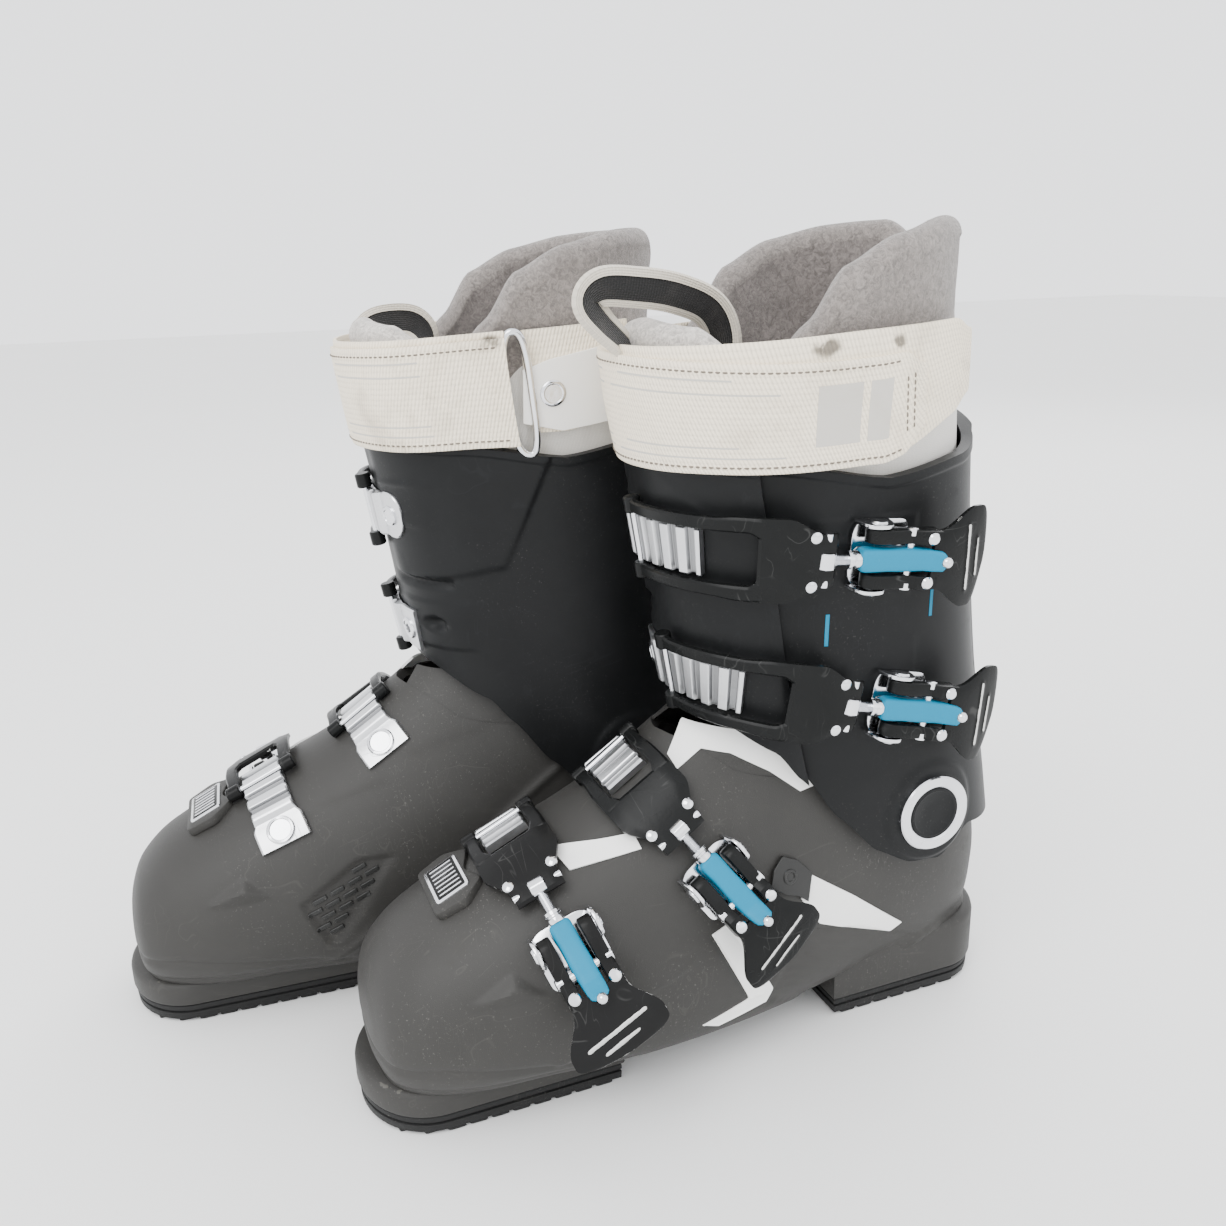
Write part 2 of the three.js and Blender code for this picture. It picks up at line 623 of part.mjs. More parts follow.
function boot(side) {
  const group = new THREE.Group();
  const name = (piece) => `${side}_${piece}`;
  const fixed = (piece, geometry, material) => group.add(placed(name(piece), geometry, material));

  fixed("lower_shell", lowerShell(), finishes.shell);
  fixed("toe_sole", raised(toeOutline(toeSoleLength, 1), 0, soleThickness), finishes.rubber);
  fixed("heel_sole", raised(heelOutline(heelSoleLength, 1), 0, soleThickness), finishes.rubber);
  fixed("liner_foot", linerFoot(), finishes.liner);

  const flex = new THREE.Matrix4().setPosition(ankle);
  const bore = pin(pivotRadius + runningGap, 0, 0, -80, 80, 16);
  const hole = bore.rotateY(Math.PI / 2).translate(0, ankle.y, ankle.z);
  const shell = group.children[0];
  shell.geometry = cut(shell.geometry, hole);
  group.add(hung(name("cuff"), cut(cuff(), hole), finishes.cuff, flex));
  group.add(hung(name("liner_shaft"), linerShaft(), finishes.liner, flex));
  group.add(hung(name("liner_tongue"), tongue(), finishes.liner, flex));
  group.add(hung(name("power_strap"), powerStrap(), finishes.strap, flex));
  fixed("pivot_rivet_lateral", pivotRivet(1), finishes.steel);
  fixed("pivot_rivet_medial", pivotRivet(-1), finishes.steel);

  for (const spec of buckles) {
    const strap = new Strap(spec);
    const bed = strap.frame(0);
    const part = (piece) => name(`${spec.name}_${piece}`);
    const rivets = bed.clone().multiply(new THREE.Matrix4().makeTranslation(0, buckle.pinHeight, 0));
    const trunnion = new THREE.Vector3(-buckle.trunnionBack, buckle.trunnionHeight, 0).applyMatrix4(bed);
    const link = strap.at(buckle.linkForward, buckle.linkHeight, 0);
    const onward = link.clone().sub(trunnion);
    const sideways = new THREE.Vector3().setFromMatrixColumn(bed, 2);
    const length = onward.length();
    onward.normalize();
    const threaded = new THREE.Matrix4().makeBasis(onward, sideways.clone().cross(onward), sideways);
    const linked = strap.frame(buckle.linkForward).setPosition(link);
    group.add(placed(part("buckle_base"), buckleBase(), finishes.steel, bed));
    group.add(placed(part("lever"), lever(), finishes.lever, rivets));
    group.add(placed(part("adjuster"), adjuster(length), finishes.adjuster, threaded.setPosition(trunnion)));
    group.add(hung(part("bail"), bail(strap, spec.reach), finishes.lever, linked));
    group.add(hung(part("ladder"), rack(strap, spec), finishes.steel, strap.frame(spec.reach)));
  }
  return group;
}

// ---- The pair -------------------------------------------------------------------------------------------

const pair = new THREE.Group();
for (const [side, hand] of [["left", 1], ["right", -1]]) {
  const one = boot(side);
  one.scale.x = hand;
  one.position.set((hand * bootSpacing) / 2, (hand * bootStagger) / 2, 0);
  one.rotation.z = hand * degrees(toeOut);
  pair.add(one);
}

// The origin is on the ground under the middle of the pair's bounding box.
pair.updateMatrixWorld(true);
const bounds = new THREE.Box3().setFromObject(pair, true);
pair.position.set(-(bounds.min.x + bounds.max.x) / 2, -(bounds.min.y + bounds.max.y) / 2, 0);

export default pair;
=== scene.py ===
import logging
import math
from dataclasses import dataclass, field
from enum import Enum
from typing import Callable

import bpy
import numpy as np
from mathutils import Matrix, Vector


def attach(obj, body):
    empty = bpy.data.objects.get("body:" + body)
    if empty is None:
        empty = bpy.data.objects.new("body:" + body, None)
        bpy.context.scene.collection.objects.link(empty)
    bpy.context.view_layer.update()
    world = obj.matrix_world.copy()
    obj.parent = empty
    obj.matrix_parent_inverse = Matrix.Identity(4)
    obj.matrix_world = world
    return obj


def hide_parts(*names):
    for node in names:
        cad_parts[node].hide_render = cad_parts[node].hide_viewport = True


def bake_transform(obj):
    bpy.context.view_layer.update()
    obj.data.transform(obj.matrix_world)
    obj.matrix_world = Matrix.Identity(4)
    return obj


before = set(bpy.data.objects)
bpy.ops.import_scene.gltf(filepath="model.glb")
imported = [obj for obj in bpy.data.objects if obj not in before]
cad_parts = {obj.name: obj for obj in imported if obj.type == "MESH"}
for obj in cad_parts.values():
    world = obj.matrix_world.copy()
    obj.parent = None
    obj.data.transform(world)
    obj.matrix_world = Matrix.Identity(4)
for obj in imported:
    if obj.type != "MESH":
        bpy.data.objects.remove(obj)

LOG = logging.getLogger("ski_boots")
Array = np.ndarray
Curve = Callable[[Array], Array]
MM = 0.001


class Side(Enum):
    """The wearer's foot that a boot is for."""

    LEFT = "left"
    RIGHT = "right"

    @property
    def hand(self) -> int:
        """1 where x is lateral in the row frame too, -1 where the boot is mirrored."""
        return 1 if self is Side.LEFT else -1


class Edge(Enum):
    """How crisp a piece's shading breaks are, in degrees."""

    SOFT = 60.0
    MOULDED = 42.0
    CRISP = 28.0


# ---- numbers on arrays ------------------------------------------------------------------------------


def ease(x: Array, low: float, high: float) -> Array:
    """Smooth step: 0 at low, 1 at high, 3t^2 - 2t^3 between them."""
    t = np.clip((np.asarray(x, float) - low) / (high - low), 0.0, 1.0)
    return t * t * (3.0 - 2.0 * t)


def mix(a: Array | float, b: Array | float, t: Array | float) -> Array:
    """a + (b - a) t."""
    return a + (b - a) * t


def unit(v: Array) -> Array:
    """v divided by its length along the last axis."""
    return v / np.maximum(np.linalg.norm(v, axis=-1, keepdims=True), 1e-12)


def through(values: Array, t: Array) -> Array:
    """The smooth curve through evenly spaced rows.

    Catmull-Rom: between rows b and c, with neighbours a and d and share f of the way,
    b + f/2 (c - a + f (2a - 5b + 4c - d + f (3(b - c) + d - a))).

    Args:
        values: rows to pass through, shape (rows, columns).
        t: place along the rows, 0 at the first.

    Returns:
        The columns at each t.
    """
    last = len(values) - 1
    i = np.clip(np.floor(t).astype(int), 0, last - 1)
    f = (t - i)[..., None]
    a, b, c, d = (values[np.clip(i + k, 0, last)] for k in (-1, 0, 1, 2))
    return b + 0.5 * f * (c - a + f * (2 * a - 5 * b + 4 * c - d + f * (3 * (b - c) + d - a)))


def stops(*pairs: tuple[float, float]) -> Curve:
    """A value that eases between (angle, value) stops, the same on both sides of the boot.

    Args:
        pairs: stops from 0 degrees (front) to 180 (back).

    Returns:
        A function of an array of angles in degrees.
    """
    angles, values = (np.array(column, float) for column in zip(*pairs))

    def at(angle: Array) -> Array:
        """Half a straight line and half a smooth step between two neighbouring stops.

        Args:
            angle: angles in degrees.

        Returns:
            The value at each angle.
        """
        a = np.abs((np.asarray(angle, float) + 180.0) % 360.0 - 180.0)
        i = np.clip(np.searchsorted(angles, a, side="right") - 1, 0, len(angles) - 2)
        f = np.clip((a - angles[i]) / (angles[i + 1] - angles[i]), 0.0, 1.0)
        return mix(values[i], values[i + 1], 0.5 * f + 0.5 * f * f * (3 - 2 * f))

    return at


def inside(y: Array, z: Array, corners: list[tuple[float, float]]) -> Array:
    """How far (y, z) lies inside a convex outline: the least distance to its edges' lines.

    Args:
        y: first coordinate.
        z: second coordinate.
        corners: the outline, either way round.

    Returns:
        Millimetres, positive inside.
    """
    p = np.array(corners, float)
    q = np.roll(p, -1, axis=0)
    turn = np.sign(np.sum(p[:, 0] * q[:, 1] - q[:, 0] * p[:, 1]))
    d = unit(q - p)
    gaps = [turn * (dx * (z - py) - dy * (y - px)) for (px, py), (dx, dy) in zip(p, d)]
    return np.min(gaps, axis=0)


def off_line(y: Array, z: Array, points: list[tuple[float, float]]) -> Array:
    """The distance from (y, z) to a polyline, as the least over its segments.

    Args:
        y: places along the boot, millimetres.
        z: heights, millimetres.
        points: the polyline's corners (y, z).

    Returns:
        The distances, millimetres.
    """
    p = np.array(points, float)
    best = np.full(np.shape(y), 1e9)
    for (ay, az), (by, bz) in zip(p[:-1], p[1:]):
        t = ((y - ay) * (by - ay) + (z - az) * (bz - az)) / ((by - ay) ** 2 + (bz - az) ** 2)
        t = np.clip(t, 0, 1)
        best = np.minimum(best, np.hypot(y - mix(ay, by, t), z - mix(az, bz, t)))
    return best


def bell(distance: Array, width: float) -> Array:
    """A bell curve, exp(-(distance / width)^2)."""
    return np.exp(-((distance / width) ** 2))


def lengths(points: Array) -> Array:
    """The distance along a polyline at each of its points, 0 at the first."""
    return np.concatenate([[0], np.cumsum(np.linalg.norm(np.diff(points, axis=0), axis=1))])


def hills(p: Array, size: float, seed: int) -> Array:
    """Smooth seeded lumps: a sum of twelve sine waves of random direction and phase, about -1 to 1.

    Args:
        p: points, shape (..., 3).
        size: the waves' mean length, in the points' unit.
        seed: what makes one set of lumps differ from another.

    Returns:
        One value a point.
    """
    rng = np.random.default_rng(seed)
    waves = unit(rng.normal(size=(12, 3))) * (2 * np.pi / size) * rng.uniform(0.6, 1.7, (12, 1))
    return np.sin(p @ waves.T + rng.uniform(0, 2 * np.pi, 12)).sum(-1) / 5.0


# ---- the boot's form --------------------------------------------------------------------------------


class Form:
    """A closed surface of cross-sections, each in a plane that holds the x direction.

    A section is a superellipse whose half widths, waist and squareness differ from side to side and
    from front to back; its numbers run smoothly from one row to the next.
    """

    def __init__(self, rows: list[tuple[float, ...]]) -> None:
        """Takes rows of front y, z, back y, z, half widths, waist, front and back squareness.

        Args:
            rows: the numbers of each section, in order.
        """
        r = np.array(rows, float)
        ty, tz, by, bz, lateral, medial = r[:, :6].T
        head = [(ty + by) / 2, (tz + bz) / 2, np.arctan2(by - ty, tz - bz)]
        squares = [(ty - by) ** 2 + (tz - bz) ** 2, lateral**2, medial**2]
        self.columns = np.column_stack([*head, *squares, r[:, 6:]])

    def point(self, v: Array, angle: Array) -> Array:
        """The surface point of section v at an angle: 0 front, 90 lateral, 180 back, -90 medial.

        The radius r at angle a obeys |r cos a / depth|^n + |r sin a / width|^n = 1.

        Args:
            v: section numbers along the form.
            angle: angles round the boot in degrees, 0 at the front.

        Returns:
            Points in the boot's millimetres, shape (..., 3).
        """
        v, angle = np.broadcast_arrays(np.asarray(v, float), np.asarray(angle, float))
        y, z, tilt, length2, lateral2, medial2, waist, front, back = np.moveaxis(
            through(self.columns, v), -1, 0
        )
        length = np.sqrt(np.maximum(length2, 0.01))
        c, s = np.cos(np.radians(angle)), np.sin(np.radians(angle))
        width = np.sqrt(np.maximum(np.where(s > 0, lateral2, medial2), 0.01))
        depth = length * np.where(c > 0, 1 - waist, waist)
        power = np.where(c > 0, front, back)
        radius = (np.abs(c / depth) ** power + np.abs(s / width) ** power) ** (-1 / power)
        rise = radius * c + length * (waist - 0.5)
        return np.stack([radius * s, y - rise * np.sin(tilt), z + rise * np.cos(tilt)], -1)

    def normal(self, v: Array, angle: Array) -> Array:
        """The outward direction: around the section times along the boot.

        Args:
            v: section numbers along the form.
            angle: angles round the boot in degrees, 0 at the front.

        Returns:
            Unit vectors, shape (..., 3).
        """
        onward = self.point(v + 0.02, angle) - self.point(v - 0.02, angle)
        around = self.point(v, angle + 0.6) - self.point(v, angle - 0.6)
        return unit(np.cross(around, onward))

    def offset(self, v: Array, angle: Array, out: Array | float) -> Array:
        """The point that lies `out` off the surface."""
        return self.point(v, angle) + self.normal(v, angle) * np.asarray(out, float)[..., None]

    def find(self, y: Array, z: Array, lateral: bool) -> tuple[Array, Array]:
        """The section and angle whose point has this y and z, on one side of the boot.

        The nearest of a coarse net of samples starts eight Newton steps on the two unknowns.

        Args:
            y: places along the boot, millimetres.
            z: heights, millimetres.
            lateral: whether to look on the outer side.

        Returns:
            Section numbers and angles.
        """
        rows = len(self.columns) - 1
        nv, na = np.meshgrid(np.linspace(0.3, rows, 90), np.linspace(8, 172, 80), indexing="ij")
        na = na if lateral else -na
        net = self.point(nv, na)[..., 1:].reshape(-1, 2)
        want = np.stack([y, z], -1)
        near = np.argmin(((want[..., None, :] - net) ** 2).sum(-1), axis=-1)
        v, a = nv.ravel()[near], na.ravel()[near]
        for _ in range(8):
            here = self.point(v, a)[..., 1:]
            dv = (self.point(v + 0.01, a)[..., 1:] - here) / 0.01
            da = (self.point(v, a + 0.1)[..., 1:] - here) / 0.1
            gap = want - here
            det = dv[..., 0] * da[..., 1] - dv[..., 1] * da[..., 0]
            det = np.where(np.abs(det) < 1e-6, 1e-6, det)
            v = v + np.clip((gap[..., 0] * da[..., 1] - gap[..., 1] * da[..., 0]) / det, -0.5, 0.5)
            a = a + np.clip((dv[..., 0] * gap[..., 1] - dv[..., 1] * gap[..., 0]) / det, -8, 8)
        return v, a


FOOT = Form(
    [
        (-143.5, 46, -143.5, 38, 1, 1, 0.46, 2.1, 2.2),
        (-141.8, 58, -142, 25, 20, 20, 0.46, 2.1, 2.3),
        (-136.5, 69, -137, 16, 33, 32, 0.44, 2.1, 2.5),
        (-126, 79, -124, 12.5, 42, 40, 0.42, 2.1, 2.7),
        (-112, 87, -103, 11.5, 48, 46, 0.4, 2.1, 2.8),
        (-95, 95.5, -75, 11.5, 52, 49, 0.4, 2.1, 2.8),
        (-78, 103, -44, 10.5, 54, 50.5, 0.4, 2.1, 3),
        (-55, 113.5, 4, 9.5, 53, 49.5, 0.42, 2.1, 3),
        (-32, 126.5, 48, 10, 50, 47, 0.45, 2.1, 2.8),
        (-18, 138, 85, 11, 45.5, 43.5, 0.48, 2.1, 2.5),
        (-5, 148, 118, 14, 43, 41.5, 0.48, 2.1, 2.5),
        (4, 156, 139, 28, 42, 41, 0.46, 2.1, 2.4),
        (8, 162, 145, 52, 42, 40.5, 0.45, 2.1, 2.3),
        (9, 168, 143.5, 74, 42.5, 41, 0.45, 2.1, 2.3),
        (9, 173, 135.5, 101, 42.5, 41, 0.45, 2.1, 2.3),
        (8, 180, 129, 135, 42.5, 41, 0.45, 2.1, 2.3),
        (5, 190, 126, 165, 42.5, 41, 0.45, 2.1, 2.3),
    ]
)
SHAFT = Form(
    [
        (26, 92, 148, 50, 51.5, 50, 0.46, 2.2, 2.4),
        (16, 116, 147, 76, 52, 50.5, 0.46, 2.2, 2.4),
        (7.5, 140, 143.5, 101, 52, 50.5, 0.46, 2.2, 2.4),
        (2, 160, 139, 128, 51.2, 49.7, 0.46, 2.2, 2.4),
        (-2, 180, 134, 156, 50.6, 49.4, 0.46, 2.2, 2.4),
        (-5, 202, 130, 186, 50.5, 49.5, 0.46, 2.2, 2.4),
        (-8.5, 226, 126.5, 217, 52, 50.5, 0.46, 2.2, 2.4),
        (-12.5, 250, 123.5, 247, 54, 52, 0.46, 2.2, 2.4),
        (-16.5, 274, 121, 277, 56, 54, 0.46, 2.2, 2.4),
        (-20, 300, 120, 308, 57.5, 56, 0.46, 2.2, 2.4),
        (-23, 330, 121, 345, 58, 57, 0.46, 2.2, 2.4),
    ]
)
SHELL_TOP = stops((0, 9.4), (22, 9.9), (40, 11.6), (60, 13), (90, 13.8), (135, 14.3), (180, 14.4))
CUFF_BOTTOM = stops(
    (0, 2.85), (14, 2.8), (34, 2.3), (40, 1.85), (50, 1.1), (64, 0.62),
    (80, 0.5), (98, 0.62), (123, 1.3), (180, 1.65)
)
CUFF_TOP = stops((0, 7.5), (45, 7.3), (90, 7.05), (130, 7.25), (180, 7.7))
LINER_TOP = stops(
    (0, 8.4), (45, 8.5), (62, 9.1), (78, 9.6), (100, 9.85), (125, 9.95), (160, 9.9), (180, 9.5)
)
TONGUE_TOP = stops((0, 9.25), (25, 9.15), (44, 8.6), (180, 8.6))
FLAP_LIFT = 5.0
ANKLE = (91.0, 105.0)
# a lug's half width, its end from the sole's middle, its length and its round end's length
TOE_LUG = (34.5, 148.5, 105.0, 30.0)
HEEL_LUG = (34.0, 148.5, 90.0, 27.0)


@dataclass(frozen=True)
class Standing:
    """Where a boot stands: its own millimetres to the row frame's metres."""

    side: Side
    spacing: float = 104.5
    stagger: float = 90.0
    toe_out: float = 1.85

    @property
    def matrix(self) -> Array:
        """Mirror for the right boot, turn out about z, move, and scale to metres.

        Returns:
            The 4 x 4 matrix.
        """
        h = self.side.hand
        t = math.radians(self.toe_out) * h
        turn = np.array([[math.cos(t), -math.sin(t), 0], [math.sin(t), math.cos(t), 0], [0, 0, 1]])
        m = np.eye(4)
        m[:3, :3] = turn @ np.diag([h, 1, 1]) * MM
        m[:3, 3] = np.array([h * self.spacing / 2, h * self.stagger / 2, 0]) * MM
        return m

    def place(self, p: Array) -> Array:
        """Boot millimetres to row metres."""
        m = self.matrix
        return p @ m[:3, :3].T + m[:3, 3]

    def body(self, name: str) -> str:
        """The name of this boot's body or node."""
        return f"{self.side.value}_{name}"


# ---- pieces -----------------------------------------------------------------------------------------


class Piece:
    """Gathers surfaces in a boot's millimetres and makes one closed mesh object of them.

    Every surface is a grid of points with its place on the cloth or wall (u, v in metres), a mark
    from 0 to 1 (wear on plastic, paint and cloth, painted shade on metal) and a finish number.
    """

    def __init__(self, name: str, standing: Standing) -> None:
        """Starts an empty piece of one boot.

        Args:
            name: the piece's name without its side.
            standing: the boot that it belongs to.
        """
        self.name = standing.body(name)
        self.standing = standing
        self.points: list[Array] = []
        self.uvs: list[Array] = []
        self.marks: list[Array] = []
        self.faces: list[Array] = []
        self.slots: list[Array] = []
        self.count = 0

    def _add(self, p: Array, uv: Array | None, mark: Array | float) -> int:
        """Adds points and returns the number of the first.

        Args:
            p: points, shape (..., 3).
            uv: place on the material, if it has one.
            mark: wear mark, which metal finishes show as painted shade.

        Returns:
            The first point's number.
        """
        flat = p.reshape(-1, 3)
        start = self.count
        self.count += len(flat)
        self.points.append(flat)
        self.uvs.append(np.zeros((len(flat), 2)) if uv is None else uv.reshape(-1, 2))
        self.marks.append(np.broadcast_to(np.asarray(mark, float), p.shape[:-1]).reshape(-1))
        return start

    def _face(self, f: Array, slot: int | Array) -> None:
        """Adds faces of one size, with one finish or one each."""
        self.faces.append(f)
        self.slots.append(np.broadcast_to(slot, len(f)))

    def skin(
        self,
        p: Array,
        around: bool = False,
        along: bool = False,
        caps: bool = False,
        uv: Array | None = None,
        mark: Array | float = 0.0,
        slot: int | Array = 0,
        m: Array | None = None,
    ) -> "Piece":
        """Adds a grid of points as a surface, outward where rows x columns turn outward.

        Args:
            p: points, shape (rows, columns, 3); columns run round, rows onward.
            around: whether the last column joins the first.
            along: whether the last row joins the first.
            caps: whether the first and the last row are closed with a flat face.
            uv: place on the material, metres.
            mark: wear mark, which metal finishes show as painted shade.
            slot: finish number, or a grid of them that fits the faces.
            m: a frame to carry the points with.

        Returns:
            This piece.
        """
        if m is not None:
            p = p @ m[:3, :3].T + m[:3, 3]
        rows, columns = p.shape[:2]
        start = self._add(p, uv, mark)
        index = start + np.arange(rows * columns).reshape(rows, columns)
        if around:
            index = np.concatenate([index, index[:, :1]], 1)
        if along:
            index = np.concatenate([index, index[:1]], 0)
        quads = np.stack([index[:-1, :-1], index[:-1, 1:], index[1:, 1:], index[1:, :-1]], -1)
        slots = np.broadcast_to(slot, quads.shape[:2])
        self._face(quads.reshape(-1, 4), slots.reshape(-1))
        if caps:
            self._face(index[0, :columns][None, ::-1], int(slots[0, 0]))
            self._face(index[-1, :columns][None], int(slots[-1, 0]))
        return self

    def slab(
        self,
        over: Array,
        under: Array,
        uv: Array | None = None,
        mark: Array | float = 0.0,
        slot: int | Array = 0,
        m: Array | None = None,
    ) -> "Piece":
        """Adds a closed slab between two open grids that share their shape.

        Each row is one loop, over and then back under; strips between the two grids close the first
        and the last row.

        Args:
            over: the outward grid of points.
            under: the inward grid, of the same shape.
            uv: place on the material, metres.
            mark: wear mark, which metal finishes show as painted shade.
            slot: finish number.
            m: a frame to carry the points with.

        Returns:
            This piece.
        """
        columns = over.shape[1]
        loop = np.concatenate([over, under[:, ::-1]], 1)
        if uv is not None:
            uv = np.concatenate([uv, uv[:, ::-1]], 1)
        if not np.isscalar(mark):
            mark = np.broadcast_to(mark, over.shape[:2])
            mark = np.concatenate([mark, mark[:, ::-1]], 1)
        start = self.count
        self.skin(loop, around=True, uv=uv, mark=mark, slot=slot, m=m)
        index = start + np.arange(loop.shape[0] * loop.shape[1]).reshape(loop.shape[:2])
        end_slots = np.broadcast_to(slot, (loop.shape[0] - 1, loop.shape[1]))[0, : columns - 1]
        for row, turn in ((index[0], -1), (index[-1], 1)):
            top, bottom = row[:columns], row[columns:][::-1]
            strip = np.stack([top[:-1], top[1:], bottom[1:], bottom[:-1]], -1)
            self._face(strip[:, ::turn], end_slots)
        return self

    def rings(
        self,
        outline: Array,
        steps: list[tuple[float, float]],
        mark: Array | float = 0.0,
        slot: int = 0,
        m: Array | None = None,
    ) -> "Piece":
        """Adds a flat-ended solid: an outline in x, y (counterclockwise), drawn in and lifted by steps.

        Args:
            outline: points x, y.
            steps: pairs of how far the outline is drawn in, and its height.
            mark: wear mark, or one for each step.
            slot: finish number.
            m: a frame to carry the points with.

        Returns:
            This piece.
        """
        ahead = unit(np.roll(outline, -1, 0) - outline)
        behind = unit(outline - np.roll(outline, 1, 0))
        bisector = unit(ahead + behind)
        inward = np.stack([-bisector[:, 1], bisector[:, 0]], -1)
        spread = np.clip((ahead * bisector).sum(-1, keepdims=True), 0.45, 1)
        inset, height = (np.array(k, float)[:, None, None] for k in zip(*steps))
        flat = outline[None] + inward[None] / spread[None] * inset
        grid = np.concatenate([flat, np.broadcast_to(height, (*flat.shape[:2], 1))], -1)
        marks = np.broadcast_to(np.reshape(mark, (-1, 1)), grid.shape[:2])
        return self.skin(grid, around=True, caps=True, mark=marks, slot=slot, m=m)

    def plate(
        self,
        outline: Array,
        low: float,
        high: float,
        rim: float = 0.4,
        mark: float = 0.0,
        slot: int = 0,
        m: Array | None = None,
    ) -> "Piece":
        """Adds a flat plate between two heights, its rims eased by `rim` in two steps.

        Args:
            outline: points x, y, counterclockwise.
            low: height of its underside.
            high: height of its top.
            rim: how far its edges are eased.
            mark: wear mark.
            slot: finish number.
            m: a frame to carry the points with.

        Returns:
            This piece.
        """
        eased = [(rim, low), (0.3 * rim, low + 0.3 * rim), (0.0, low + rim)]
        steps = eased + [(i, low + high - z) for i, z in reversed(eased)]
        marks = np.array([0.9, 1.0, 0.6, 0.6, 1.0, 0.9]) * mark
        return self.rings(outline, steps, mark=marks, slot=slot, m=m)

    def turned(
        self,
        profile: list[tuple[float, float]],
        m: Array,
        sides: int = 28,
        slot: int = 0,
        mark: float = 0.0,
        loop: bool = False,
    ) -> "Piece":
        """Adds a turned solid: (radius, height) pairs spun about z, closed by small caps or into a ring.

        Args:
            profile: pairs of radius and height.
            m: a frame to carry the points with.
            sides: points round it.
            slot: finish number.
            mark: wear mark.
            loop: whether the profile closes on itself, as a ring's does.

        Returns:
            This piece.
        """
        a = np.linspace(0, 2 * np.pi, sides, endpoint=False)
        r, h = np.array(profile, float).T
        r = np.maximum(r, 0.01)
        grid = np.stack(
            [r[:, None] * np.cos(a), r[:, None] * np.sin(a), np.repeat(h[:, None], sides, 1)], -1
        )
        return self.skin(grid, around=True, along=loop, caps=not loop, slot=slot, mark=mark, m=m)

    def rod(
        self,
        path: Array,
        radius: Array | float,
        sides: int = 12,
        loop: bool = False,
        slot: int = 0,
        m: Array | None = None
    ) -> "Piece":
        """Adds a round rod carried along a path, on frames that keep the least twist.

        Args:
            path: points along its middle.
            radius: its radius, or one for each point.
            sides: points round it.
            loop: whether the path closes on itself.
            slot: finish number.
            m: a frame to carry the points with.

        Returns:
            This piece.
        """
        t = np.gradient(path, axis=0)
        if loop:
            t = np.roll(path, -1, 0) - np.roll(path, 1, 0)
        t = unit(t)
        ref = np.array([0.0, 0.0, 1.0]) if abs(t[:, 2]).mean() < 0.8 else np.array([1.0, 0, 0])
        n = unit(np.cross(t, ref))
        b = np.cross(t, n)
        a = np.linspace(0, 2 * np.pi, sides, endpoint=False)
        r = np.broadcast_to(np.asarray(radius, float), len(path))[:, None, None]
        ring = path[:, None] + r * (
            np.cos(a)[None, :, None] * n[:, None] - np.sin(a)[None, :, None] * b[:, None]
        )
        return self.skin(ring[:, ::-1], around=True, along=loop, caps=not loop, slot=slot, m=m)

    def make(
        self,
        finishes: list[bpy.types.Material],
        body: str,
        replaces: tuple[str, ...] = (),
        edge: Edge = Edge.MOULDED,
        bevel: float = 0.0,
        across: tuple | None = None,
    ) -> bpy.types.Object:
        """Makes the mesh object, dresses it and lets it ride on its body, unless `across` is given.

        Args:
            finishes: materials, by finish number.
            body: the CAD body that it moves with.
            replaces: CAD nodes that it stands for.
            edge: how crisp the shading breaks are.
            bevel: width of eased edges, in millimetres.
            across: for a soft piece over a joint: the other body, and the points in the row frame where it
                leaves the first body and where it meets the other; only whether it is given is read, and
                then the piece is left at the origin without a body.

        Returns:
            The object, at the origin of the row frame.
        """
        local = np.concatenate(self.points)
        co = self.standing.place(local)
        mirrored = self.standing.side is Side.RIGHT
        faces = [f[:, ::-1] if mirrored else f for f in self.faces]
        loops = np.concatenate([f.ravel() for f in faces])
        sizes = np.concatenate([np.full(len(f), f.shape[1]) for f in faces])
        mesh = bpy.data.meshes.new(self.name)
        mesh.vertices.add(len(co))
        mesh.vertices.foreach_set("co", co.ravel().astype(np.float32))
        mesh.loops.add(len(loops))
        mesh.loops.foreach_set("vertex_index", loops.astype(np.int32))
        mesh.polygons.add(len(sizes))
        mesh.polygons.foreach_set("loop_start", (np.cumsum(sizes) - sizes).astype(np.int32))
        mesh.polygons.foreach_set("material_index", np.concatenate(self.slots).astype(np.int32))
        layer = mesh.uv_layers.new(name="UVMap")
        layer.data.foreach_set("uv", np.concatenate(self.uvs)[loops].ravel().astype(np.float32))
        # the mark: wear for most finishes, painted shade for metal
        wear = mesh.attributes.new("wear", "FLOAT", "POINT")
        wear.data.foreach_set("value", np.concatenate(self.marks).astype(np.float32))
        place = mesh.attributes.new("boot", "FLOAT_VECTOR", "POINT")
        place.data.foreach_set("vector", (local * MM).ravel().astype(np.float32))
        mesh.update(calc_edges=True)
        mesh.validate()
        for finish in finishes:
            mesh.materials.append(finish)
        mesh.shade_smooth()
        mesh.set_sharp_from_angle(angle=math.radians(edge.value))
        piece = bpy.data.objects.new(self.name, mesh)
        bpy.context.scene.collection.objects.link(piece)
        if bevel:
            ease_edges = piece.modifiers.new("eased", "BEVEL")
            ease_edges.width = bevel * MM
            ease_edges.segments = 2
            ease_edges.limit_method = "ANGLE"
            ease_edges.angle_limit = math.radians(40)
            ease_edges.harden_normals = False
        if across:
            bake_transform(piece)
        else:
            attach(piece, body)
        if replaces:
            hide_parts(*[self.standing.body(node) for node in replaces])
        LOG.info("%s: %d points, %d faces", self.name, len(co), len(sizes))
        return piece


def frame_of(origin: Array, x: Array, y: Array, z: Array) -> Array:
    """The 4 x 4 matrix with these axes and origin.

    Args:
        origin: where the frame stands.
        x: its x axis.
        y: its y axis.
        z: its z axis.

    Returns:
        The matrix.
    """
    m = np.eye(4)
    m[:3, 0], m[:3, 1], m[:3, 2], m[:3, 3] = x, y, z, origin
    return m


